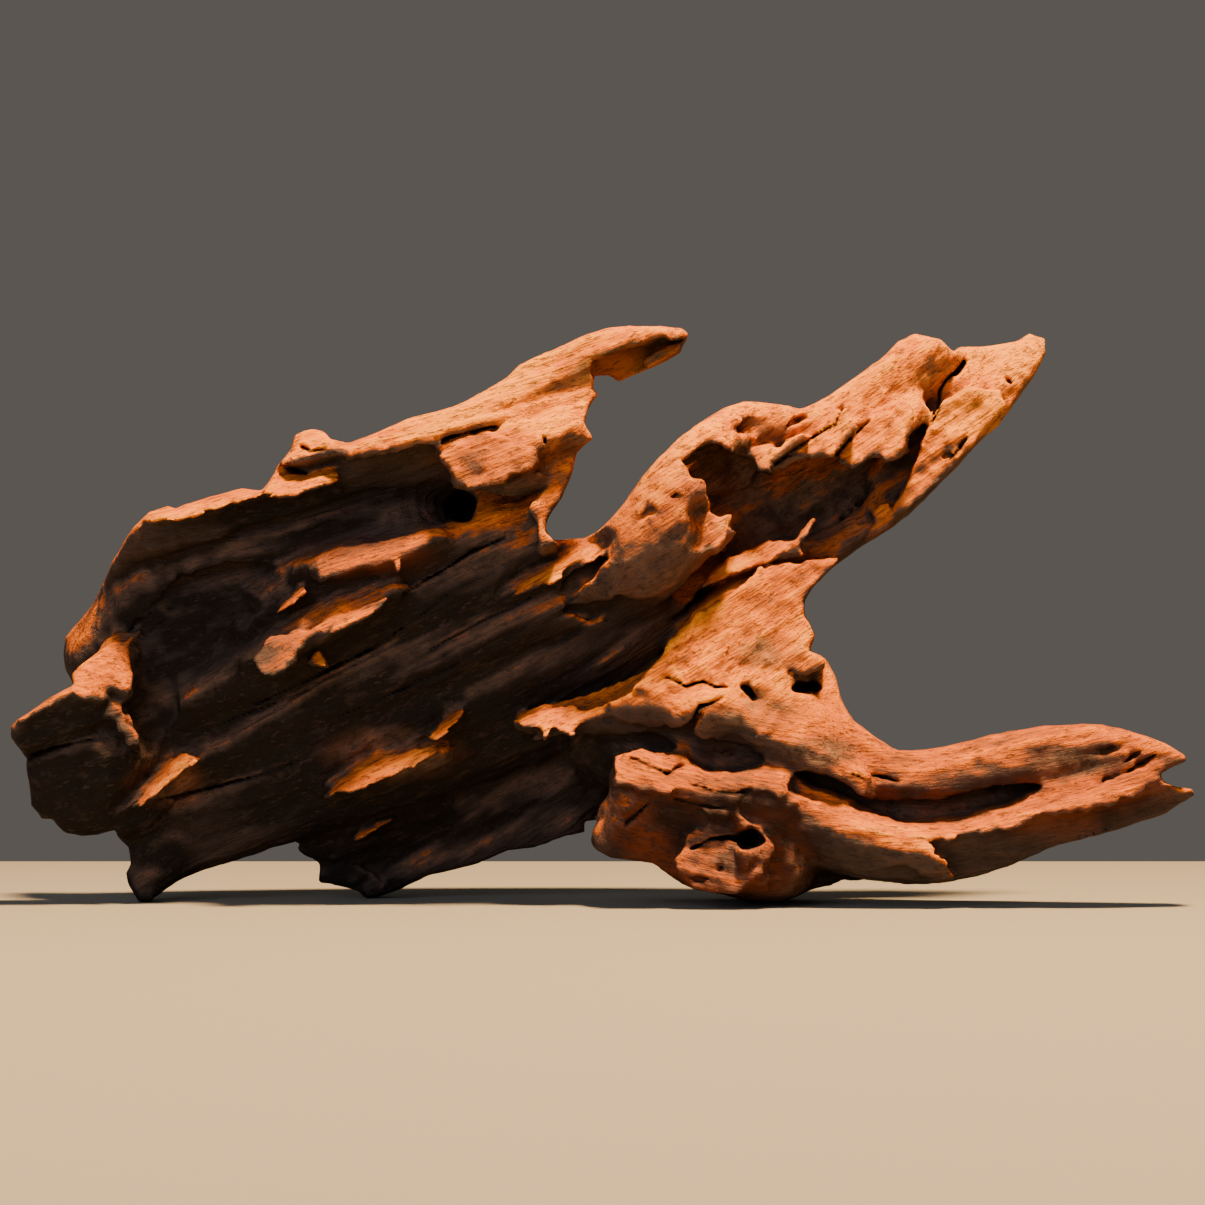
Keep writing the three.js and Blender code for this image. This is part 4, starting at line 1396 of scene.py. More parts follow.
@dataclass
class Trunk(Limb):
    """The slab with its rim, ledges and foot, the skirt and the back."""

    name: str = "trunk"
    runs: tuple[Run, ...] = (
        Run("flank_and_rim", ((-207, 34, 90, 8, 12), (-199, 26, 113, 11, 16),
            (-182, 4, 135, 12, 24), (-161, -20, 142, 9, 24), (-135, -32, 148, 8, 20),
            (-108, -36, 158, 10, 20), (-75, -36, 169, 13, 20), (-45, -34, 178, 17, 20),
            (-20, -30, 189, 20, 18))),
        Run("under_rim", ((-193, 20, 93, 15, 24), (-167, 10, 119, 20, 28), (-131, 2, 132, 22, 28),
            (-96, 0, 143, 22, 28), (-58, -2, 153, 20, 28), (-22, -6, 160, 13, 22))),
        Run("upper_mid", ((-190, 16, 75, 14, 24), (-155, 6, 98, 17, 28), (-115, -6, 116, 18, 28),
            (-77, -12, 128, 17, 28), (-39, -14, 138, 17, 26), (-21, -14, 143, 12, 22))),
        Run("middle", ((-186, 14, 59, 14, 24), (-151, 5, 79, 18, 29), (-108, -4, 98, 19, 29),
            (-65, -9, 114, 19, 29), (-24, -12, 127, 17, 28), (5, -14, 128, 14, 24))),
        Run("lower_mid", ((-186, 16, 43, 14, 22), (-147, 11, 61, 19, 27), (-100, 1, 80, 20, 29),
            (-54, -4, 98, 20, 30), (-16, -6, 113, 18, 29), (16, -2, 118, 14, 28))),
        Run("lower", ((-183, 14, 26, 13, 17), (-144, 14, 43, 18, 23), (-97, 7, 62, 20, 27),
            (-51, 2, 80, 20, 28), (-9, 2, 97, 19, 28), (36, 10, 114, 18, 26))),
        Run("bottom_edge", ((-175, 8, 8, 8, 10), (-166, 12, 19, 12, 13), (-136, 16, 31, 13, 18),
            (-98, 15, 45, 15, 21), (-59, 13, 59, 17, 25), (-24, 12, 74, 18, 26),
            (15, 16, 90, 18, 26), (55, 18, 112, 16, 24))),
        Run("left_foot", ((-175, 5, -3, 7, 9), (-176, 6, 8, 9, 10), (-171, 10, 24, 12, 14))),
        Run("back_body", ((-177, 26, 72, 28, 24), (-123, 36, 95, 38, 30), (-52, 40, 119, 40, 34),
            (15, 42, 127, 36, 32), (62, 34, 113, 30, 28))),
        Run("ledge_high", ((-111, -34, 124, 4, 8), (-95, -40, 128, 6, 10), (-75, -42, 131, 6, 10),
            (-61, -40, 136, 4, 7))),
        Run("ledge_middle", ((-130, -26, 91, 5, 9), (-112, -32, 99, 8, 11), (-95, -36, 109, 7, 10),
            (-78, -38, 117, 5, 7))),
        Run("ledge_left", ((-179, 2, 34, 3, 6), (-166, -5, 43, 4, 8), (-153, -8, 52, 3, 6))),
        Run("ledge_low", ((-101, -10, 43, 4, 8), (-82, -16, 50, 7, 10), (-61, -20, 57, 4, 7))),
        Run("knob", ((-116, -30, 156, 6, 9), (-111, -24, 170, 7, 10), (-105, -24, 172, 6, 9),
            (-93, -32, 165, 7, 10))),
        Run("rim_lump", ((-57, -44, 164, 10, 11), (-34, -46, 165, 13, 14), (-14, -42, 172, 13, 14),
            (-8, -36, 180, 12, 12))),
        Run("edge_at_vee", ((-11, -28, 166, 7, 12), (-21, -26, 150, 7, 12), (-22, -24, 135, 9, 12),
            (-5, -28, 131, 10, 14))),
        Run("skirt_core", ((68, 8, 120, 18, 24), (57, 2, 96, 26, 28), (60, 0, 70, 28, 28),
            (75, -4, 39, 26, 26))),
        Run("cavity_back", ((3, 0, 64, 18, 24), (29, -8, 57, 24, 26), (60, -10, 39, 24, 26))),
        Run("skirt", ((73, -4, 121, 10, 16), (56, -16, 106, 18, 22), (45, -26, 89, 21, 24),
            (36, -32, 75, 18, 24))),
        Run("skirt_edge", ((72, 0, 111, 9, 16), (74, -8, 95, 12, 17), (81, -14, 80, 13, 18),
            (88, -18, 63, 14, 20), (108, -20, 51, 13, 20))),
        Run("skirt_finger", ((-29, -24, 69, 4, 6), (-8, -30, 72, 8, 11), (14, -34, 77, 13, 16),
            (36, -32, 80, 16, 20))),
        Run("skirt_flow", ((61, -30, 80, 16, 18), (73, -32, 57, 19, 18), (87, -30, 37, 16, 18))),
        Run("skirt_lip", ((49, -40, 71, 8, 14), (69, -36, 59, 9, 16), (92, -32, 47, 9, 16))),
        Run("back_ridge", ((-153, 54, 68, 10, 12), (-101, 62, 93, 14, 14), (-41, 66, 114, 15, 14),
            (20, 64, 123, 14, 14), (71, 50, 140, 10, 12))),
        Run("back_ridge_low", ((-120, 48, 44, 8, 12), (-71, 58, 66, 11, 13), (-15, 64, 82, 13, 14),
            (30, 60, 92, 12, 14))),
    )
    hollows: tuple[Run, ...] = (
        Run("under_rim_hollow", ((-129, -48, 139, 6, 14), (-96, -46, 148, 10, 17),
            (-64, -38, 151, 10, 18), (-53, -20, 149, 6, 20))),
        Run("valley", ((77, -20, 125, 6, 12), (51, -34, 107, 9, 18), (21, -40, 95, 11, 20),
            (3, -38, 85, 10, 16), (-16, -34, 77, 6, 11))),
        Run("back_hollow", ((-120, 84, 72, 8, 14), (-67, 90, 93, 11, 18), (-9, 90, 105, 11, 18),
            (36, 84, 111, 7, 14))),
        Run("back_hollow_high", ((-130, 68, 114, 8, 14), (-86, 72, 137, 12, 20),
            (-41, 68, 147, 9, 16))),
    )
    splinters: tuple[Run, ...] = (
        Run("rim_backing", ((-154, -4, 149, 6, 7), (-141, -4, 151.5, 6, 7), (-126, -4, 157, 6, 7))),
        Run("finger_splinter_high", ((-32, -30, 68, 1, 1.2), (-24, -30, 69.5, 1.8, 2),
            (-12, -32, 71, 3, 4))),
        Run("finger_splinter_low", ((-25, -27, 63, 0.9, 1.1), (-16, -28, 66, 1.6, 2),
            (-6, -30, 69, 3, 4))),
    )
    recesses: tuple[Recess, ...] = (
        Recess("slot_over_lump", ((-62, 178), (-46, 182), (-36, 182), (-40, 178), (-51, 176),
            (-62, 172)), -44, -47, -80, 14, 0.8, 3),
        Recess("under_rim_left", ((-176, 145), (-162, 146), (-128, 156), (-123, 154), (-117, 155),
            (-106, 160), (-100, 160), (-97, 156), (-102, 145), (-116, 141), (-161, 134),
            (-173, 131), (-179, 135)), -35, -27, -80, 15),
        Recess("slab_band", ((-177, 100), (-173, 112), (-162, 124), (-144, 130), (-130, 130),
            (-117, 121), (-125, 115), (-130, 110), (-130, 102), (-135, 96), (-137, 89), (-145, 81),
            (-158, 73), (-169, 69), (-174, 75), (-177, 88)), -14, -17, -80, 25, 1.2, 10),
        Recess("under_rim_right", ((-109, 165), (-101, 171), (-96, 170), (-86, 171), (-76, 174),
            (-64, 176), (-62, 170), (-57, 164), (-57, 159), (-66, 159), (-77, 160), (-98, 157),
            (-101, 160), (-101, 164), (-108, 164)), -44, -26, -80, 12),
        Recess("knob_slot", ((-124, 167), (-116, 166), (-111, 164), (-112, 162), (-119, 162),
            (-125, 163)), -27, -30, -80, -8),
        Recess("beside_vee_wedge", ((1, 133), (-11, 128), (-17, 118), (-14, 114), (-2, 125),
            (2, 131)), -33, -33, -80, 40),
        Recess("under_shoulder", ((-14, 114), (-7, 114), (3, 116), (5, 118), (14, 116), (24, 116),
            (30, 120), (42, 134), (43, 132), (40, 125), (33, 116), (26, 110), (16, 106), (-9, 108),
            (-16, 111)), -34, -24, -80, 10),
        Recess("finger_cavity", ((-9, 64), (-7, 69), (3, 71), (10, 69), (16, 69), (18, 65),
            (24, 68), (28, 67), (34, 70), (40, 74), (35, 64), (47, 61), (56, 60), (60, 57),
            (63, 53), (61, 50), (52, 46), (39, 47), (34, 51), (32, 55), (21, 59), (16, 58),
            (13, 56), (6, 55), (4, 48), (3, 39), (1, 28), (-7, 26), (-18, 33), (-22, 47), (-21, 60),
            (-18, 65)), -42, -36, -82, 0, 1.3, 3),
    )
    shelves: tuple[Shelf, ...] = (
        Shelf("rim_lip_left", ((-176.5, 146), (-173, 149.5), (-166, 151.5), (-163.5, 148.5),
            (-161.5, 150.5), (-138.5, 158), (-129.5, 158), (-128.5, 156.5), (-162, 146.5)), -32,
            -48, 24, 15),
        Shelf("rim_lip_right", ((-129.5, 158), (-126.5, 161), (-104, 165), (-101.5, 160.5),
            (-111, 158.5), (-116.5, 155.5), (-123, 154.5), (-128.5, 156.5)), -40, -54, 24, 15),
        Shelf("knob_chip", ((-108.5, 164), (-101.5, 164), (-101.5, 160.5), (-108.5, 160.5)), -44,
            -52, 14, 5),
        Shelf("high_ledge", ((-113.5, 124), (-109, 131), (-101.5, 134.5), (-90, 136), (-75, 140),
            (-66.5, 138.5), (-66.5, 137), (-77.5, 132), (-78, 126), (-80, 130.5), (-95.5, 127),
            (-108.5, 122.5)), -45, -55, 22, 16, 1.1, 12),
        Shelf("high_ledge_tail", ((-113.5, 122), (-123.5, 113), (-124.5, 111), (-117.5, 115),
            (-113.5, 118.5)), -39, -47, 16, 42, 1.3),
        Shelf("middle_ledge", ((-133.5, 92.5), (-126.5, 100.5), (-112, 104.5), (-90.5, 114),
            (-80.5, 116.5), (-86.5, 110.5), (-103.5, 102.5), (-107, 98), (-114.5, 94.5),
            (-121.5, 88), (-125, 86.5), (-129, 87)), -46, -59, 30, 25, 1.1, 12),
        Shelf("middle_chip", ((-112.5, 90.5), (-111, 93), (-108, 95.5), (-105, 89), (-108, 89.5)),
            -43, -51, 22, 25, 1.2),
        Shelf("left_ledge", ((-180, 36), (-166, 53.5), (-160.5, 56.5), (-153.5, 55.5), (-172, 40)),
            -16, -28, 20, 40, 1.6, 10),
        Shelf("low_ledge", ((-106.5, 40), (-100.5, 46), (-90.5, 52.5), (-85, 54.5), (-63, 60.5),
            (-63.5, 57.5), (-77.5, 49.5), (-96, 41.5), (-100.5, 42)), -23, -36, 24, 22, 1.2, 12),
        Shelf("small_ledge", ((-66.5, 63.5), (-60, 70.5), (-56.5, 73), (-53, 73.5), (-54.5, 70.5),
            (-61.5, 64.5), (-64.5, 62.5)), -27, -37, 16, 35, 1.2),
        Shelf("salmon_lump", ((-62.5, 170), (-50.5, 175.5), (-37, 177.5), (-31, 174), (-16, 172.5),
            (-11, 170.5), (-20.5, 168), (-47, 158), (-56.5, 158.5), (-56.5, 163.5)), -56, -63, 22,
            18, 1.4),
        Shelf("vee_edge", ((-20.5, 167.5), (-11, 171), (-8, 168), (-9.5, 161), (-18, 149),
            (-18, 141.5), (-16, 132), (-24.5, 133), (-24, 136.5), (-25, 146), (-27.5, 149),
            (-27, 151.5), (-18, 162.5)), -46, -56, 26, -60, 1.2),
        Shelf("vee_wedge", ((-34, 117), (-31.5, 122.5), (-10.5, 133.5), (-1, 136.5), (-12.5, 129),
            (-16, 124), (-28.5, 118.5)), -36, -47, 16, 32),
        Shelf("skirt_top", ((89, 132), (60.5, 127), (48.5, 116), (34, 108), (29, 103), (23.5, 95),
            (11.5, 81), (25, 79.5), (45, 88), (64, 91), (77.5, 87), (84, 89.5), (89, 100),
            (93, 115.5)), -33, -51, 34, -15, 1.3),
        Shelf("finger_end", ((-32.5, 68), (-29, 70.5), (-18, 73), (-5, 72.5), (-5.5, 69),
            (-11.5, 64.5), (-15.5, 64.5), (-18, 67), (-22.5, 63), (-24, 66)), -36, -47, 12, 12,
            2.1),
    )
    cracks: tuple[Crack, ...] = (
        Crack("slab_long", ((-132.7, 75.7, 0.3), (-117.8, 82.5, 0.8), (-105.2, 88.3, 0.8),
            (-87.7, 97.1, 0.8), (-70.5, 108.9, 0.6), (-59, 117.7, 0.2)), 6),
        Crack("slab_high", ((-76.2, 117.7, 0.3), (-65.9, 123.8, 0.7), (-50.6, 133.3, 0.7),
            (-37.2, 139.1, 0.3)), 5),
        Crack("slab_left", ((-187.4, 94.4, 0.6), (-178.6, 105.8, 0.9), (-169, 116.9, 0.8),
            (-162.5, 124.9, 0.4)), 5, -9),
        Crack("slab_low", ((-170.2, 39, 0.3), (-153.8, 42.8, 0.7), (-133.5, 47.8, 0.7),
            (-115.6, 54.3, 0.3)), 4),
        Crack("slab_middle", ((-104.1, 69.5, 0.3), (-77.4, 81, 0.6), (-54.4, 91.7, 0.3)), 4),
        Crack("slab_right", ((-65.9, 96.3, 0.3), (-46.8, 107, 0.6), (-27.7, 116.2, 0.3)), 4),
        Crack("slab_fine", ((-157.6, 63.4, 0.3), (-134.7, 72.6, 0.5), (-111.7, 81, 0.3)), 3),
        Crack("knob_split", ((-114.8, 174.2, 0.5), (-111.7, 172.3, 0.8), (-106, 172.7, 0.3)), 6),
        Crack("skirt_zigzag", ((24.6, 85.6, 0.3), (28.1, 84.1, 0.5), (31.9, 82.2, 0.7),
            (38.4, 84.4, 0.6), (43, 82.2, 0.7), (47.6, 82.2, 0.3)), 5),
        Crack("skirt_short", ((35, 71.1, 0.4), (37.2, 74.9, 0.8), (41.4, 75.7, 0.6),
            (45.6, 77.6, 0.3)), 5),
    )
    pits: tuple[Pit, ...] = (
        Pit("rim_hole", (-53.3, 150.9), (5.7, 6.5), 0, 20),
        Pit("skirt_hole_left", (55.6, 80.6), (3.8, 2.1), -45, 14),
        Pit("skirt_hole_right", (78.5, 82.2), (6.5, 3.2), -10, 18),
        Pit("horn_pit", (-41.4, 179.6), (1.9, 1.5), 0, 5),
        Pit("horn_star", (-21.6, 176.5), (1.1, 2.3), 10, 4),
    )
    cuts: tuple[Plane, ...] = (
        Plane.seen((-95, 0), (-95, 200)),
        Plane.seen((-20, 0), (-20, 200)),
    )


# The outline seen from the front, clockwise from the stump's tip, as x and z.
OUTLINE = (
    (-213, 77), (-202, 83), (-205, 89), (-206, 94), (-205, 101), (-200, 107), (-195, 113),
    (-191, 121), (-187, 130), (-183, 137), (-179, 143), (-173, 149), (-166, 151), (-163, 150),
    (-159, 152), (-145, 156), (-138, 158), (-130, 157), (-127, 161), (-124, 167), (-119, 173),
    (-118, 179), (-115, 181), (-111, 183), (-108, 181), (-104, 177), (-97, 175), (-87, 179),
    (-73, 185), (-57, 189), (-45, 195), (-37, 200), (-32, 205), (-26, 208), (-16, 212), (-8, 216),
    (1, 219), (11, 220), (22, 220), (30, 219), (33, 217), (31, 213), (30, 210), (25, 207),
    (18, 204), (12, 201), (6, 199), (3, 201), (-3, 201), (-4, 196), (-2, 194), (-6, 188),
    (-7, 183), (-4, 177), (-10, 172), (-12, 163), (-16, 154), (-21, 147), (-22, 142), (-19, 138),
    (-6, 139), (-1, 142), (4, 147), (9, 153), (15, 162), (21, 169), (29, 177), (37, 183),
    (47, 189), (53, 191), (59, 191), (68, 190), (76, 188), (82, 191), (89, 195), (99, 202),
    (107, 208), (113, 214), (119, 217), (129, 215), (134, 210), (136, 212), (143, 212), (151, 213),
    (158, 214), (163, 217), (169, 215), (169, 209), (165, 201), (159, 193), (151, 182), (145, 177),
    (135, 166), (128, 159), (117, 148), (109, 142), (99, 136), (88, 128), (80, 120), (77, 115),
    (77, 110), (81, 102), (79, 96), (85, 93), (89, 86), (91, 77), (96, 69), (104, 63), (112, 58),
    (122, 58), (134, 60), (149, 64), (166, 67), (183, 68), (190, 68), (206, 64), (216, 60),
    (222, 56), (223, 54), (218, 52), (213, 49), (214, 46), (219, 44), (225, 43), (226, 41),
    (217, 35), (206, 30), (195, 26), (174, 22), (165, 18), (156, 14), (148, 11), (140, 9),
    (130, 7), (109, 5), (85, 6), (80, 5), (74, 2), (68, 0), (56, 0), (46, 3), (35, 5), (29, 8),
    (19, 15), (11, 16), (3, 17), (-3, 20), (-5, 23), (-4, 27), (-2, 31), (-7, 31), (-7, 27),
    (-15, 25), (-26, 21), (-36, 20), (-47, 15), (-67, 10), (-77, 5), (-86, 2), (-90, 1), (-93, 4),
    (-100, 6), (-109, 7), (-108, 13), (-108, 15), (-114, 18), (-117, 20), (-115, 23), (-123, 20),
    (-138, 15), (-149, 12), (-160, 9), (-167, 5), (-173, 0), (-177, 0), (-181, 7), (-182, 11),
    (-180, 15), (-181, 21), (-185, 25), (-186, 28), (-192, 26), (-199, 25), (-206, 26), (-210, 32),
    (-214, 32), (-218, 37), (-219, 46), (-220, 51), (-220, 55), (-226, 63), (-226, 67), (-223, 70),
    (-218, 73),
)

LIMBS = (LeftStump(), Horn(), UpperArm(), LowerArm(), Knuckle(), LowerPlate(), Trunk())

# Patches painted lighter or darker, and patches of other hues. The darker patches on the slab,
# under the rim and the horn's tip, in the hollows, under the arm, on the stump's front and at the
# feet are painted shade; the lighter patches on the ledges are painted light.
TINTS = (
    # Painted shade over the slab's face, which leans out over its foot.
    Tint((-110, 88), (100, 66), light=-0.24),
    # Painted shade over the dark plate behind and under the slab.
    Tint((-60, 22), (60, 26), light=-0.1),
    Tint((-89, 131), (28, 9), light=-0.06, red=0.3),
    # Painted light on the middle ledge.
    Tint((-109, 100), (30, 14), light=0.14),
    # Painted light on the low ledge, with a grey and red hue.
    Tint((-80, 57), (25, 10), light=0.2, grey=0.4, red=0.25),
    Tint((-20, 190), (64, 30), light=0.16, yellow=0.6),
    Tint((-35, 170), (26, 10), light=-0.3, red=1.0),
    Tint((28, 145), (32, 30), light=0.06, grey=0.3, red=0.3),
    Tint((90, 188), (46, 22), light=0.08, yellow=0.5),
    Tint((60, 182), (12, 5), light=-0.1, red=0.8),
    # Painted shade in the arm's hollow, with a grey hue.
    Tint((84, 152), (46, 17), light=-0.12, grey=0.4),
    # Painted shade in the left end of the arm's hollow, with a grey hue.
    Tint((47, 164), (16, 11), light=-0.25, grey=0.4),
    Tint((57, 131), (20, 7), light=0.1),
    Tint((145, 195), (36, 30), light=0.2, yellow=0.8),
    # Painted shade under the arm, over the keel, with a red hue.
    Tint((85, 135), (46, 12), light=-0.15, red=0.2),
    # Painted shade in the cavity under the finger.
    Tint((4, 52), (24, 18), light=-0.1),
    Tint((50, 92), (40, 22), light=0.1, yellow=0.3),
    Tint((60, 72), (16, 6), light=-0.14, grey=1.0),
    Tint((83, 58), (14, 6), light=-0.2, grey=1.0),
    Tint((62, 96), (14, 7), light=-0.06, grey=0.9),
    Tint((160, 50), (80, 26), light=-0.16, red=0.3),
    Tint((178, 53), (14, 5), light=-0.14, grey=0.9),
    Tint((40, 25), (44, 30), light=-0.3, red=0.3),
    Tint((-190, 90), (22, 16), light=0.06),
    # Painted shade on the slab below the rim's overhang.
    Tint((-150, 102), (36, 22), light=-0.3),
    # Painted shade under the rim.
    Tint((-98, 146), (48, 12), light=-0.2),
    # Painted shade under the horn's tip.
    Tint((12, 205), (26, 8), light=-0.5),
    # Painted light on the left ledge, with a grey and red hue.
    Tint((-167, 47), (14, 10), light=0.18, grey=0.4, red=0.25),
    # Painted shade on the stump's front.
    Tint((-202, 48), (34, 28), light=-0.4),
    # Painted shade on the plate's foot.
    Tint((-98, 10), (24, 12), light=-0.45),
    # Painted shade on the slab's left foot.
    Tint((-180, 10), (24, 18), light=-0.4),
)


def linear(colour: str) -> tuple[float, float, float, float]:
    """Turns an sRGB hex colour to the linear values that shaders take."""
    values = [int(colour[index : index + 2], 16) / 255 for index in (1, 3, 5)]
    return (*(v / 12.92 if v <= 0.04045 else ((v + 0.055) / 1.055) ** 2.4 for v in values), 1.0)


def add_node(tree: Tree, kind: str, settings: dict, links: dict) -> bpy.types.Node:
    """Adds a shader node.

    Args:
        tree: the node tree.
        kind: the node's type.
        settings: attributes, and input values by their name or number.
        links: sockets to join, by the input's name or number.

    Returns:
        The node.
    """
    node = tree.nodes.new(kind)
    for name, value in settings.items():
        if isinstance(name, str) and hasattr(node, name):
            setattr(node, name, value)
        else:
            node.inputs[name].default_value = value
    for name, socket in links.items():
        tree.links.new(socket, node.inputs[name])
    return node


@dataclass(frozen=True)
class WeatheredRootWood:
    """Sand-worn softwood root, dry and unfinished.

    Its colour runs from dark red brown to orange tan by painted light and shade: faces turned up
    towards the key lamp are painted orange tan, and faces turned down, hollows and cracks are
    painted dark red brown. Long fibres stand up a little between softer furrows, so the grain
    shows as fine streaks and the surface has no gloss.
    """

    # Colours from dark to pale. The tone that picks among them is mostly painted light and shade,
    # so the dark ones stand for painted shade and the pale ones for painted light, with the grain's
    # streaks between.
    deep: str = "#1a1614"
    shade_and_grain_brown: str = "#3b312e"
    brown: str = "#58443b"
    orange: str = "#a8561f"
    tan: str = "#d27015"
    pale: str = "#e6901c"
    grey: str = "#75604f"
    salmon: str = "#b2562c"
    roughness: float = 0.86
    gloss: float = 0.08
    ior: float = 1.5
    # Distances between streaks, fibres and grit, and how high they stand, in mm. Real grit is finer
    # than the render shows.
    streak_across: float = 4.5
    streak_along: float = 60.0
    fibre_across: float = 1.1
    fibre_along: float = 11.0
    mottle: float = 7.0
    blotch: float = 26.0
    grit: float = 0.9
    tick_across: float = 1.5
    tick_along: float = 5.0
    fleck_across: float = 3.4
    fleck_along: float = 9.0
    bump_height: float = 1.0

    def make(self) -> bpy.types.Material:
        """Builds the material."""
        material = bpy.data.materials.new("weathered_root_wood")
        material.use_nodes = True
        tree = material.node_tree
        tree.nodes.clear()
        streak = self.grained(tree, self.streak_along, self.streak_across, 3.0, 0.55)
        fibre = self.grained(tree, self.fibre_along, self.fibre_across, 2.0, 0.6)
        mottle = self.spotted(tree, self.mottle, 4.0, 0.62)
        blotch = self.spotted(tree, self.blotch, 2.0, 0.5)
        grit = self.spotted(tree, self.grit, 2.0, 0.5)
        tick = self.grained(tree, self.tick_along, self.tick_across, 3.0, 0.65)
        # The painted light, the painted shade of hollows and the painted shade of cracks, kept on
        # the pieces.
        painted_light_and_tone, painted_hollow_shade, painted_crack_shade = self.kept(tree, "age")
        greyish, reddish, yellowish = self.kept(tree, "tint")

        # The grain pattern is made weaker where less light is painted, so the painted shade shows
        # less grain than the painted light.
        strength = self.scaled(tree, painted_light_and_tone, 1.2, 0.14)
        pattern = self.plus(tree, self.plus(tree, streak, fibre, 1.2, -1.15), mottle, 1.1, -0.5)
        pattern = self.plus(tree, pattern, blotch, 0.6, -0.3)
        pattern = self.times(tree, pattern, strength)
        tone = self.plus(tree, painted_light_and_tone, pattern, 0.46, 0.0)
        # The ramp turns the painted light and shade, with the grain pattern over it, into colour:
        # low tones are painted shade, high ones painted light.
        ramp = add_node(tree, "ShaderNodeValToRGB", {}, {0: tone})
        stops = (
            (0.0, self.deep), (0.2, self.shade_and_grain_brown), (0.42, self.brown),
            (0.62, self.orange), (0.8, self.tan), (1.0, self.pale),
        )
        while len(ramp.color_ramp.elements) < len(stops):
            ramp.color_ramp.elements.new(0.5)
        for element, (place, colour) in zip(ramp.color_ramp.elements, stops):
            element.position = place
            element.color = linear(colour)
        colour = ramp.outputs["Color"]
        colour = self.washed(tree, colour, greyish, mottle, self.grey, 0.75)
        colour = self.washed(tree, colour, reddish, blotch, self.salmon, 0.7)
        colour = self.washed(tree, colour, yellowish, blotch, self.pale, 0.55)
        ticks = self.picked(tree, tick, 0.57, 0.65)
        colour = self.darkened(tree, colour, ticks, self.shade_and_grain_brown, 0.72)
        fleck = self.grained(tree, self.fleck_along, self.fleck_across, 4.0, 0.7)
        flecks = self.picked(tree, fleck, 0.54, 0.66)
        colour = self.darkened(tree, colour, flecks, self.shade_and_grain_brown, 0.5)
        # Painted shade where wood stands close round, as in hollows.
        colour = self.darkened(tree, colour, painted_hollow_shade, self.shade_and_grain_brown, 0.8)
        # Painted shade in the cracks and in tight creases.
        colour = self.darkened(tree, colour, painted_crack_shade, self.deep, 0.95)

        height = self.plus(tree, self.plus(tree, fibre, streak, 0.7, 0.0), grit, 0.35, 0.0)
        height = self.plus(tree, height, mottle, 0.5, 0.0)
        height = self.plus(tree, height, ticks, -0.5, 0.0)
        rise = {"Strength": 0.9, "Distance": self.bump_height * MM}
        bump = add_node(tree, "ShaderNodeBump", rise, {"Height": height})
        shader = add_node(
            tree,
            "ShaderNodeBsdfPrincipled",
            {"Roughness": self.roughness, "Specular IOR Level": self.gloss, "IOR": self.ior},
            {"Base Color": colour, "Normal": bump.outputs["Normal"]},
        )
        add_node(tree, "ShaderNodeOutputMaterial", {}, {"Surface": shader.outputs["BSDF"]})
        return material

    def kept(self, tree: Tree, name: str) -> list[Socket]:
        """The three values that the pieces keep under a name."""
        stored = add_node(tree, "ShaderNodeAttribute", {"attribute_name": name}, {})
        parts = add_node(tree, "ShaderNodeSeparateColor", {}, {0: stored.outputs["Color"]})
        return list(parts.outputs)

    def grained(
        self, tree: Tree, along: float, across: float, detail: float, rough: float
    ) -> Socket:
        """Noise drawn out along the grain, weighed by how much each course counts."""
        shares = self.kept(tree, "grain_shares")
        stretch = {"operation": "MULTIPLY", 1: (1 / along, 1 / across, 1 / across)}
        grit = {"Scale": 1.0, "Detail": detail, "Roughness": rough, "Distortion": 0.15}
        total = None
        for share, grain in zip(shares, Grain):
            name = {"attribute_name": grain.stored}
            laid = add_node(tree, "ShaderNodeAttribute", name, {}).outputs["Vector"]
            laid = add_node(tree, "ShaderNodeVectorMath", stretch, {0: laid}).outputs[0]
            noise = add_node(tree, "ShaderNodeTexNoise", grit, {"Vector": laid}).outputs[0]
            part = self.times(tree, noise, share)
            total = part if total is None else self.sum(tree, total, part)
        return total

    def spotted(self, tree: Tree, size: float, detail: float, rough: float) -> Socket:
        """Even noise whose spots have a size in mm."""
        place = add_node(tree, "ShaderNodeTexCoord", {}, {}).outputs["Object"]
        grit = {"Scale": 1 / (size * MM), "Detail": detail, "Roughness": rough}
        return add_node(tree, "ShaderNodeTexNoise", grit, {"Vector": place}).outputs[0]

    def picked(self, tree: Tree, pattern: Socket, low: float, high: float) -> Socket:
        """A mask of the spots where a pattern is above a level, soft between low and high."""
        limits = {"From Min": low, "From Max": high, "To Max": 0.85}
        return add_node(tree, "ShaderNodeMapRange", limits, {"Value": pattern}).outputs[0]

    def times(self, tree: Tree, one: Socket, other: Socket) -> Socket:
        """Multiplies two values."""
        links = {0: one, 1: other}
        return add_node(tree, "ShaderNodeMath", {"operation": "MULTIPLY"}, links).outputs[0]

    def sum(self, tree: Tree, one: Socket, other: Socket) -> Socket:
        """Adds two values."""
        return add_node(tree, "ShaderNodeMath", {}, {0: one, 1: other}).outputs[0]

    def scaled(self, tree: Tree, value: Socket, amount: float, offset: float) -> Socket:
        """Takes a share of a value and adds an offset."""
        terms = {"operation": "MULTIPLY_ADD", 1: amount, 2: offset}
        return add_node(tree, "ShaderNodeMath", terms, {0: value}).outputs[0]

    def plus(self, tree: Tree, base: Socket, extra: Socket, amount: float, offset: float) -> Socket:
        """Adds a share of one value and an offset to another."""
        return self.sum(tree, base, self.scaled(tree, extra, amount, offset))

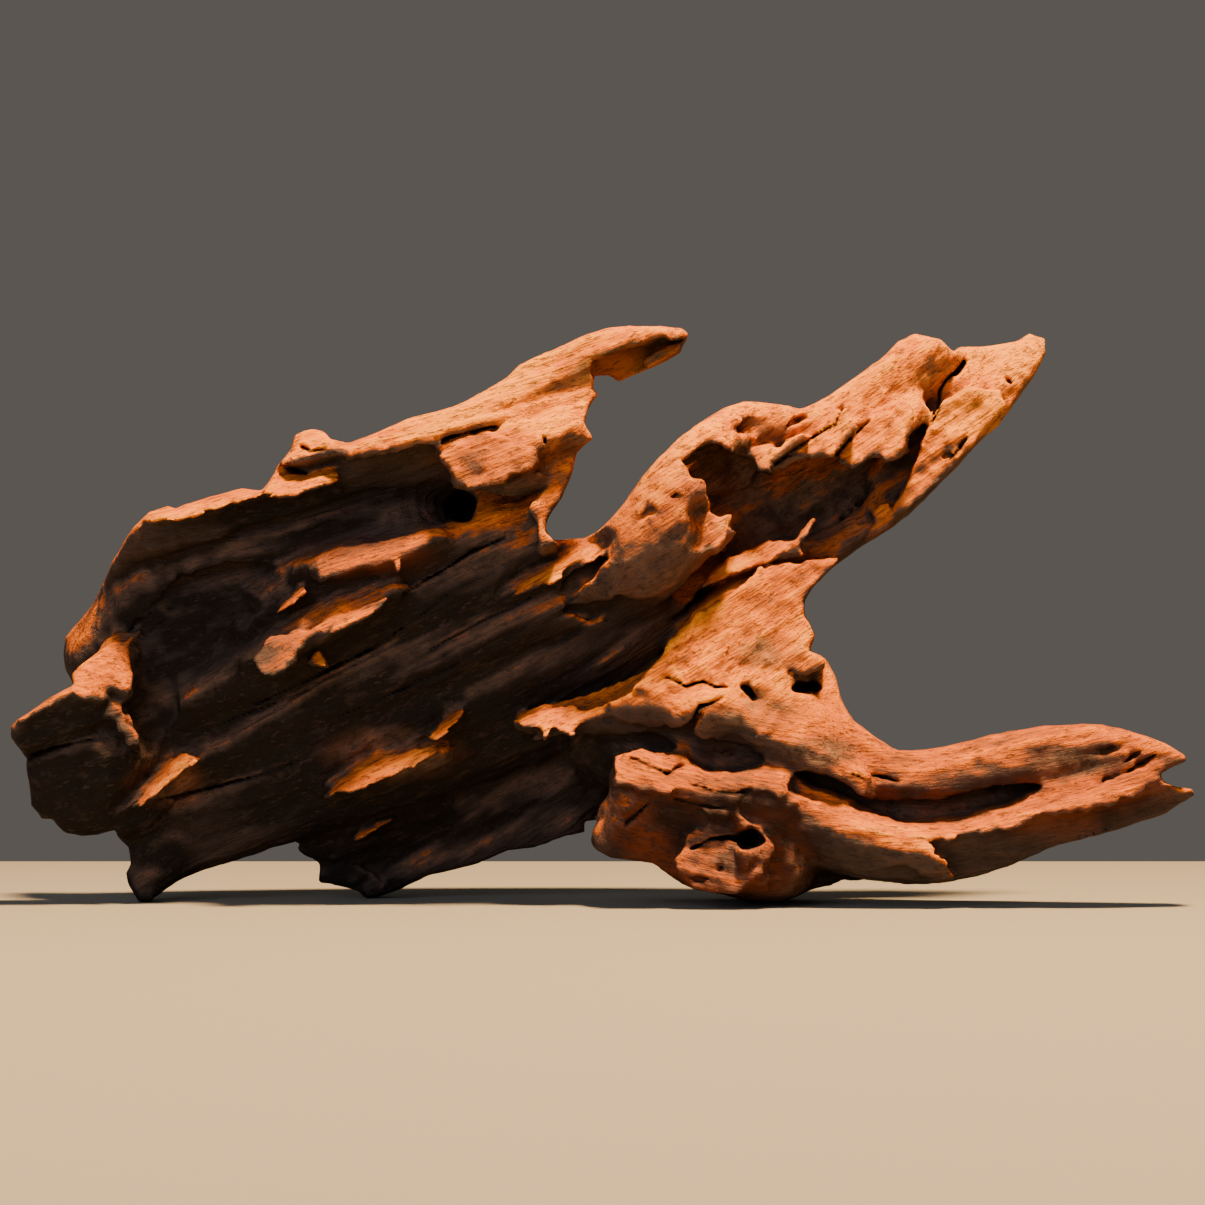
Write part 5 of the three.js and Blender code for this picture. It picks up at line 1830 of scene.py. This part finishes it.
    def washed(
        self, tree: Tree, colour: Socket, where: Socket, pattern: Socket, wash: str, amount: float
    ) -> Socket:
        """Washes a colour over the base in spots where a mask allows it."""
        limits = {"From Min": 0.4, "From Max": 0.62, "To Min": 0.15, "To Max": 1.0}
        limits["interpolation_type"] = "SMOOTHSTEP"
        spots = add_node(tree, "ShaderNodeMapRange", limits, {"Value": pattern}).outputs[0]
        return self.darkened(tree, colour, self.times(tree, where, spots), wash, amount)

    def darkened(
        self, tree: Tree, colour: Socket, where: Socket, shade: str, amount: float
    ) -> Socket:
        """Mixes a shade over the base where a mask allows it."""
        terms = {"operation": "MULTIPLY", 1: amount, "use_clamp": True}
        share = add_node(tree, "ShaderNodeMath", terms, {0: where}).outputs[0]
        mix = {"data_type": "RGBA", 7: linear(shade)}
        return add_node(tree, "ShaderNodeMix", mix, {0: share, 6: colour}).outputs[2]


# How far round a place the wood is counted, close by and in a wider ring, and how far the way
# that the surface faces is averaged, in mm. Edges bent further than the angle are drawn sharp.
CLOSE_BY = 4.0
ROUND_ABOUT = 13.0
NORMAL_REACH = 2.4
SHARP_ANGLE = math.radians(75)

# The way from which light is painted into the colour, close to the key lamp's way, and how far a
# tint covers and fades, in its own sizes.
PAINTED_LIGHT_SIDE = (0.1, -0.25, 0.96)
TINT_END = 1.3
TINT_FADE = 0.8


@dataclass
class Driftwood:
    """The whole piece: grown, parted and dressed."""

    limbs: tuple[Limb, ...]
    tints: tuple[Tint, ...]

    def build(self) -> list[tuple[Piece, str]]:
        """Makes the pieces, each with the name of the node that it stands for."""
        sculpt = Sculpt(list(self.limbs))
        LOG.info("grown")
        points, triangles = sculpt.mesh()
        LOG.info("meshed: %d triangles", len(triangles))
        rest = new_object("rest", (points + np.array(SCULPT_ORIGIN)) * MM, triangles)
        pieces = []
        for limb in self.limbs:
            whole = limb.part(rest) if limb.planes else rest
            pieces += [(piece, limb.name) for piece in limb.split(whole)]
        self.dress(sculpt, pieces)
        return pieces

    def dress(self, sculpt: Sculpt, pieces: list[tuple[Piece, str]]) -> None:
        """Gives every piece its normals, its painted light and shade and the wood material."""
        material = WeatheredRootWood().make()
        near, wide = sculpt.crowding(CLOSE_BY), sculpt.crowding(ROUND_ABOUT)
        planes = [plane for limb in self.limbs for plane in (*limb.planes, *limb.cuts)]
        for piece, _ in pieces:
            mesh = piece.data
            mesh.materials.clear()
            mesh.materials.append(material)
            mesh.polygons.foreach_set("material_index", np.zeros(len(mesh.polygons), np.int32))
            mesh.set_sharp_from_angle(angle=SHARP_ANGLE)
            crisp(mesh, planes)
            count = len(mesh.vertices)
            points = np.empty(count * 3, np.float32)
            mesh.vertices.foreach_get("co", points)
            points = in_sculpt(points)
            normals = sculpt.normals(points, NORMAL_REACH)
            for grain in Grain:
                self.store(mesh, grain.stored, "FLOAT_VECTOR", grain.value.lay(points))
            self.store(mesh, "grain_shares", "FLOAT_COLOR", grain_shares(points))
            crowd = sculpt.coarse.sample(near, points), sculpt.coarse.sample(wide, points)
            self.store(mesh, "age", "FLOAT_COLOR", self.age(points, normals, *crowd))
            self.store(mesh, "tint", "FLOAT_COLOR", self.hues(points))

    def age(self, points: Array, normals: Array, near: Array, wide: Array) -> Array:
        """How much light and shade is painted into the surface colour.

        Args:
            points: places in mm.
            normals: which way the surface faces there.
            near: how much of the space close by is wood.
            wide: how much of the space farther round is wood.

        Returns:
            One row of three values for each place.
        """
        # Painted light: what faces up and a little forwards, towards the key lamp, and what stands
        # free or is an edge is painted lighter; what wood stands close round is painted darker.
        free = 1 - np.clip((wide - 0.3) / 0.5, 0, 1)
        up = normals @ np.array(PAINTED_LIGHT_SIDE, np.float32)
        painted_light_and_tone = 0.1 + 0.58 * ease((up + 0.15) / 0.75) + 0.2 * (free - 0.4)
        painted_light_and_tone += 0.45 * (0.5 - near)
        seen_x, seen_z, _ = flatten(*points.T)
        # Tints add their patches of painted light and painted shade, and the lightness of some
        # hues.
        for tint in self.tints:
            share = self.covered(tint, seen_x, seen_z)
            painted_light_and_tone += tint.light * share
        # Painted shade: darker where wood stands close round a place, as in hollows, and darkest in
        # tight creases and along the cracks.
        painted_hollow_shade = ease((near - 0.54) / 0.3) * 0.6 + ease((wide - 0.56) / 0.28) * 0.6
        painted_crack_shade = ease((near - 0.66) / 0.22)
        # Painted shade along each crack's seen course, on faces turned to the front.
        front = normals[:, 1] < 0.1
        for limb in self.limbs:
            for crack in limb.cracks:
                reached = front & (points[:, 1] > crack.near) & (points[:, 1] < crack.far)
                painted_crack_shade = np.maximum(painted_crack_shade, crack.drawn(seen_x, seen_z) * reached)
        return np.stack([np.clip(painted_light_and_tone, 0, 1), painted_hollow_shade, painted_crack_shade], 1)

    def hues(self, points: Array) -> Array:
        """How grey, red and yellow each place is washed."""
        seen_x, seen_z, _ = flatten(*points.T)
        result = np.zeros((len(points), 3), np.float32)
        for tint in self.tints:
            share = self.covered(tint, seen_x, seen_z)
            result += share[:, None] * np.array([tint.grey, tint.red, tint.yellow], np.float32)
        return np.clip(result, 0, 1)

    @staticmethod
    def covered(tint: Tint, x: Array, z: Array) -> Array:
        """How much a tint covers each seen place."""
        away = np.hypot((x - tint.place[0]) / tint.size[0], (z - tint.place[1]) / tint.size[1])
        return ease((TINT_END - away) / TINT_FADE)

    @staticmethod
    def store(mesh: bpy.types.Mesh, name: str, kind: str, values: Array) -> None:
        """Keeps values on the vertices for the material to read."""
        attribute = mesh.attributes.new(name, kind, "POINT")
        if kind == "FLOAT_COLOR":
            values = np.concatenate([values, np.ones((len(values), 1))], 1)
            attribute.data.foreach_set("color", values.astype(np.float32).ravel())
        else:
            attribute.data.foreach_set("vector", values.astype(np.float32).ravel())


@dataclass(frozen=True)
class Lamp:
    """A square lamp: the way to it, how far it stands and its side in m, its power in W."""

    way: tuple[float, float, float]
    distance: float
    size: float
    power: float
    colour: str


@dataclass(frozen=True)
class Studio:
    """A pale floor under an even sky, a soft key light from above and the camera at the eye.

    The frame's width is in mm where the sculpt's origin is, the sensor's in mm; the floor is in m.
    """

    floor_width: float = 12.0
    floor_depth: float = 6.0
    floor_back: float = 0.41
    floor_colour: str = "#97928a"
    floor_roughness: float = 0.9
    frame_width: float = 460.31
    sensor: float = 36.0
    horizon: float = 0.11826
    view_end: float = 50.0
    aim: tuple[float, float, float] = (0, 0, 0.1)
    key: Lamp = Lamp((0.14, -0.28, 0.945), 1.7, 0.26, 134.0, "#ffd296")
    fill: Lamp = Lamp((-0.4, -0.9, 0.15), 2.2, 1.6, 27.0, "#dfe6f2")
    sky: str = "#d2c9bf"
    sky_strength: float = 0.17

    def build(self) -> None:
        """Sets the stage."""
        self.set_floor()
        self.set_camera()
        self.set_lights()

    def set_floor(self) -> None:
        """A wide pale floor at the level the wood stands on, which ends some way behind it."""
        shape = bmesh.new()
        bmesh.ops.create_grid(shape, x_segments=1, y_segments=1, size=0.5)
        bmesh.ops.scale(shape, vec=(self.floor_width, self.floor_depth, 1), verts=shape.verts)
        shift = (0, self.floor_back - self.floor_depth / 2, 0)
        bmesh.ops.translate(shape, vec=shift, verts=shape.verts)
        mesh = bpy.data.meshes.new("floor")
        shape.to_mesh(mesh)
        shape.free()
        material = bpy.data.materials.new("matt_painted_board")
        material.use_nodes = True
        shader = material.node_tree.nodes["Principled BSDF"]
        shader.inputs["Base Color"].default_value = linear(self.floor_colour)
        shader.inputs["Roughness"].default_value = self.floor_roughness
        mesh.materials.append(material)
        link("floor", mesh)

    def set_camera(self) -> None:
        """The camera stands at the eye and looks level, with the view shifted up."""
        camera = bpy.data.cameras.new("camera")
        camera.sensor_width = self.sensor
        camera.lens = self.sensor / self.frame_width * EYE_DISTANCE
        camera.shift_y = self.horizon
        camera.clip_end = self.view_end
        item = link("camera", camera)
        x, y, _ = SCULPT_ORIGIN
        item.location = (x * MM, (y - EYE_DISTANCE) * MM, EYE_HEIGHT * MM)
        item.rotation_euler = (math.radians(90), 0, 0)
        bpy.context.scene.camera = item

    def set_lights(self) -> None:
        """A warm key from above and in front, a wide dim fill from the front and an even sky."""
        self.add_light("key", self.key)
        self.add_light("fill", self.fill)
        world = bpy.data.worlds.new("sky")
        bpy.context.scene.world = world
        world.use_nodes = True
        background = world.node_tree.nodes["Background"]
        background.inputs["Color"].default_value = linear(self.sky)
        background.inputs["Strength"].default_value = self.sky_strength

    def add_light(self, name: str, lamp: Lamp) -> None:
        """Puts a lamp where it belongs, facing the wood's middle."""
        light = bpy.data.lights.new(name, "AREA")
        light.size = lamp.size
        light.energy = lamp.power
        light.color = linear(lamp.colour)[:3]
        item = link(name, light)
        direction = Vector(lamp.way).normalized()
        item.location = Vector(self.aim) + direction * lamp.distance
        item.rotation_euler = direction.to_track_quat("Z", "Y").to_euler()


def main() -> None:
    """Builds the driftwood and the stage, and reports each piece."""
    logging.basicConfig(level=logging.INFO, format="%(relativeCreated)d %(message)s")
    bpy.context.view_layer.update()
    Studio().build()
    driftwood = Driftwood(LIMBS, TINTS)
    for piece, node in driftwood.build():
        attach(piece, "root")
        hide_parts(node)
        LOG.info("%s stands for %s: %d faces", piece.name, node, len(piece.data.polygons))


if __name__ == "__main__":
    main()
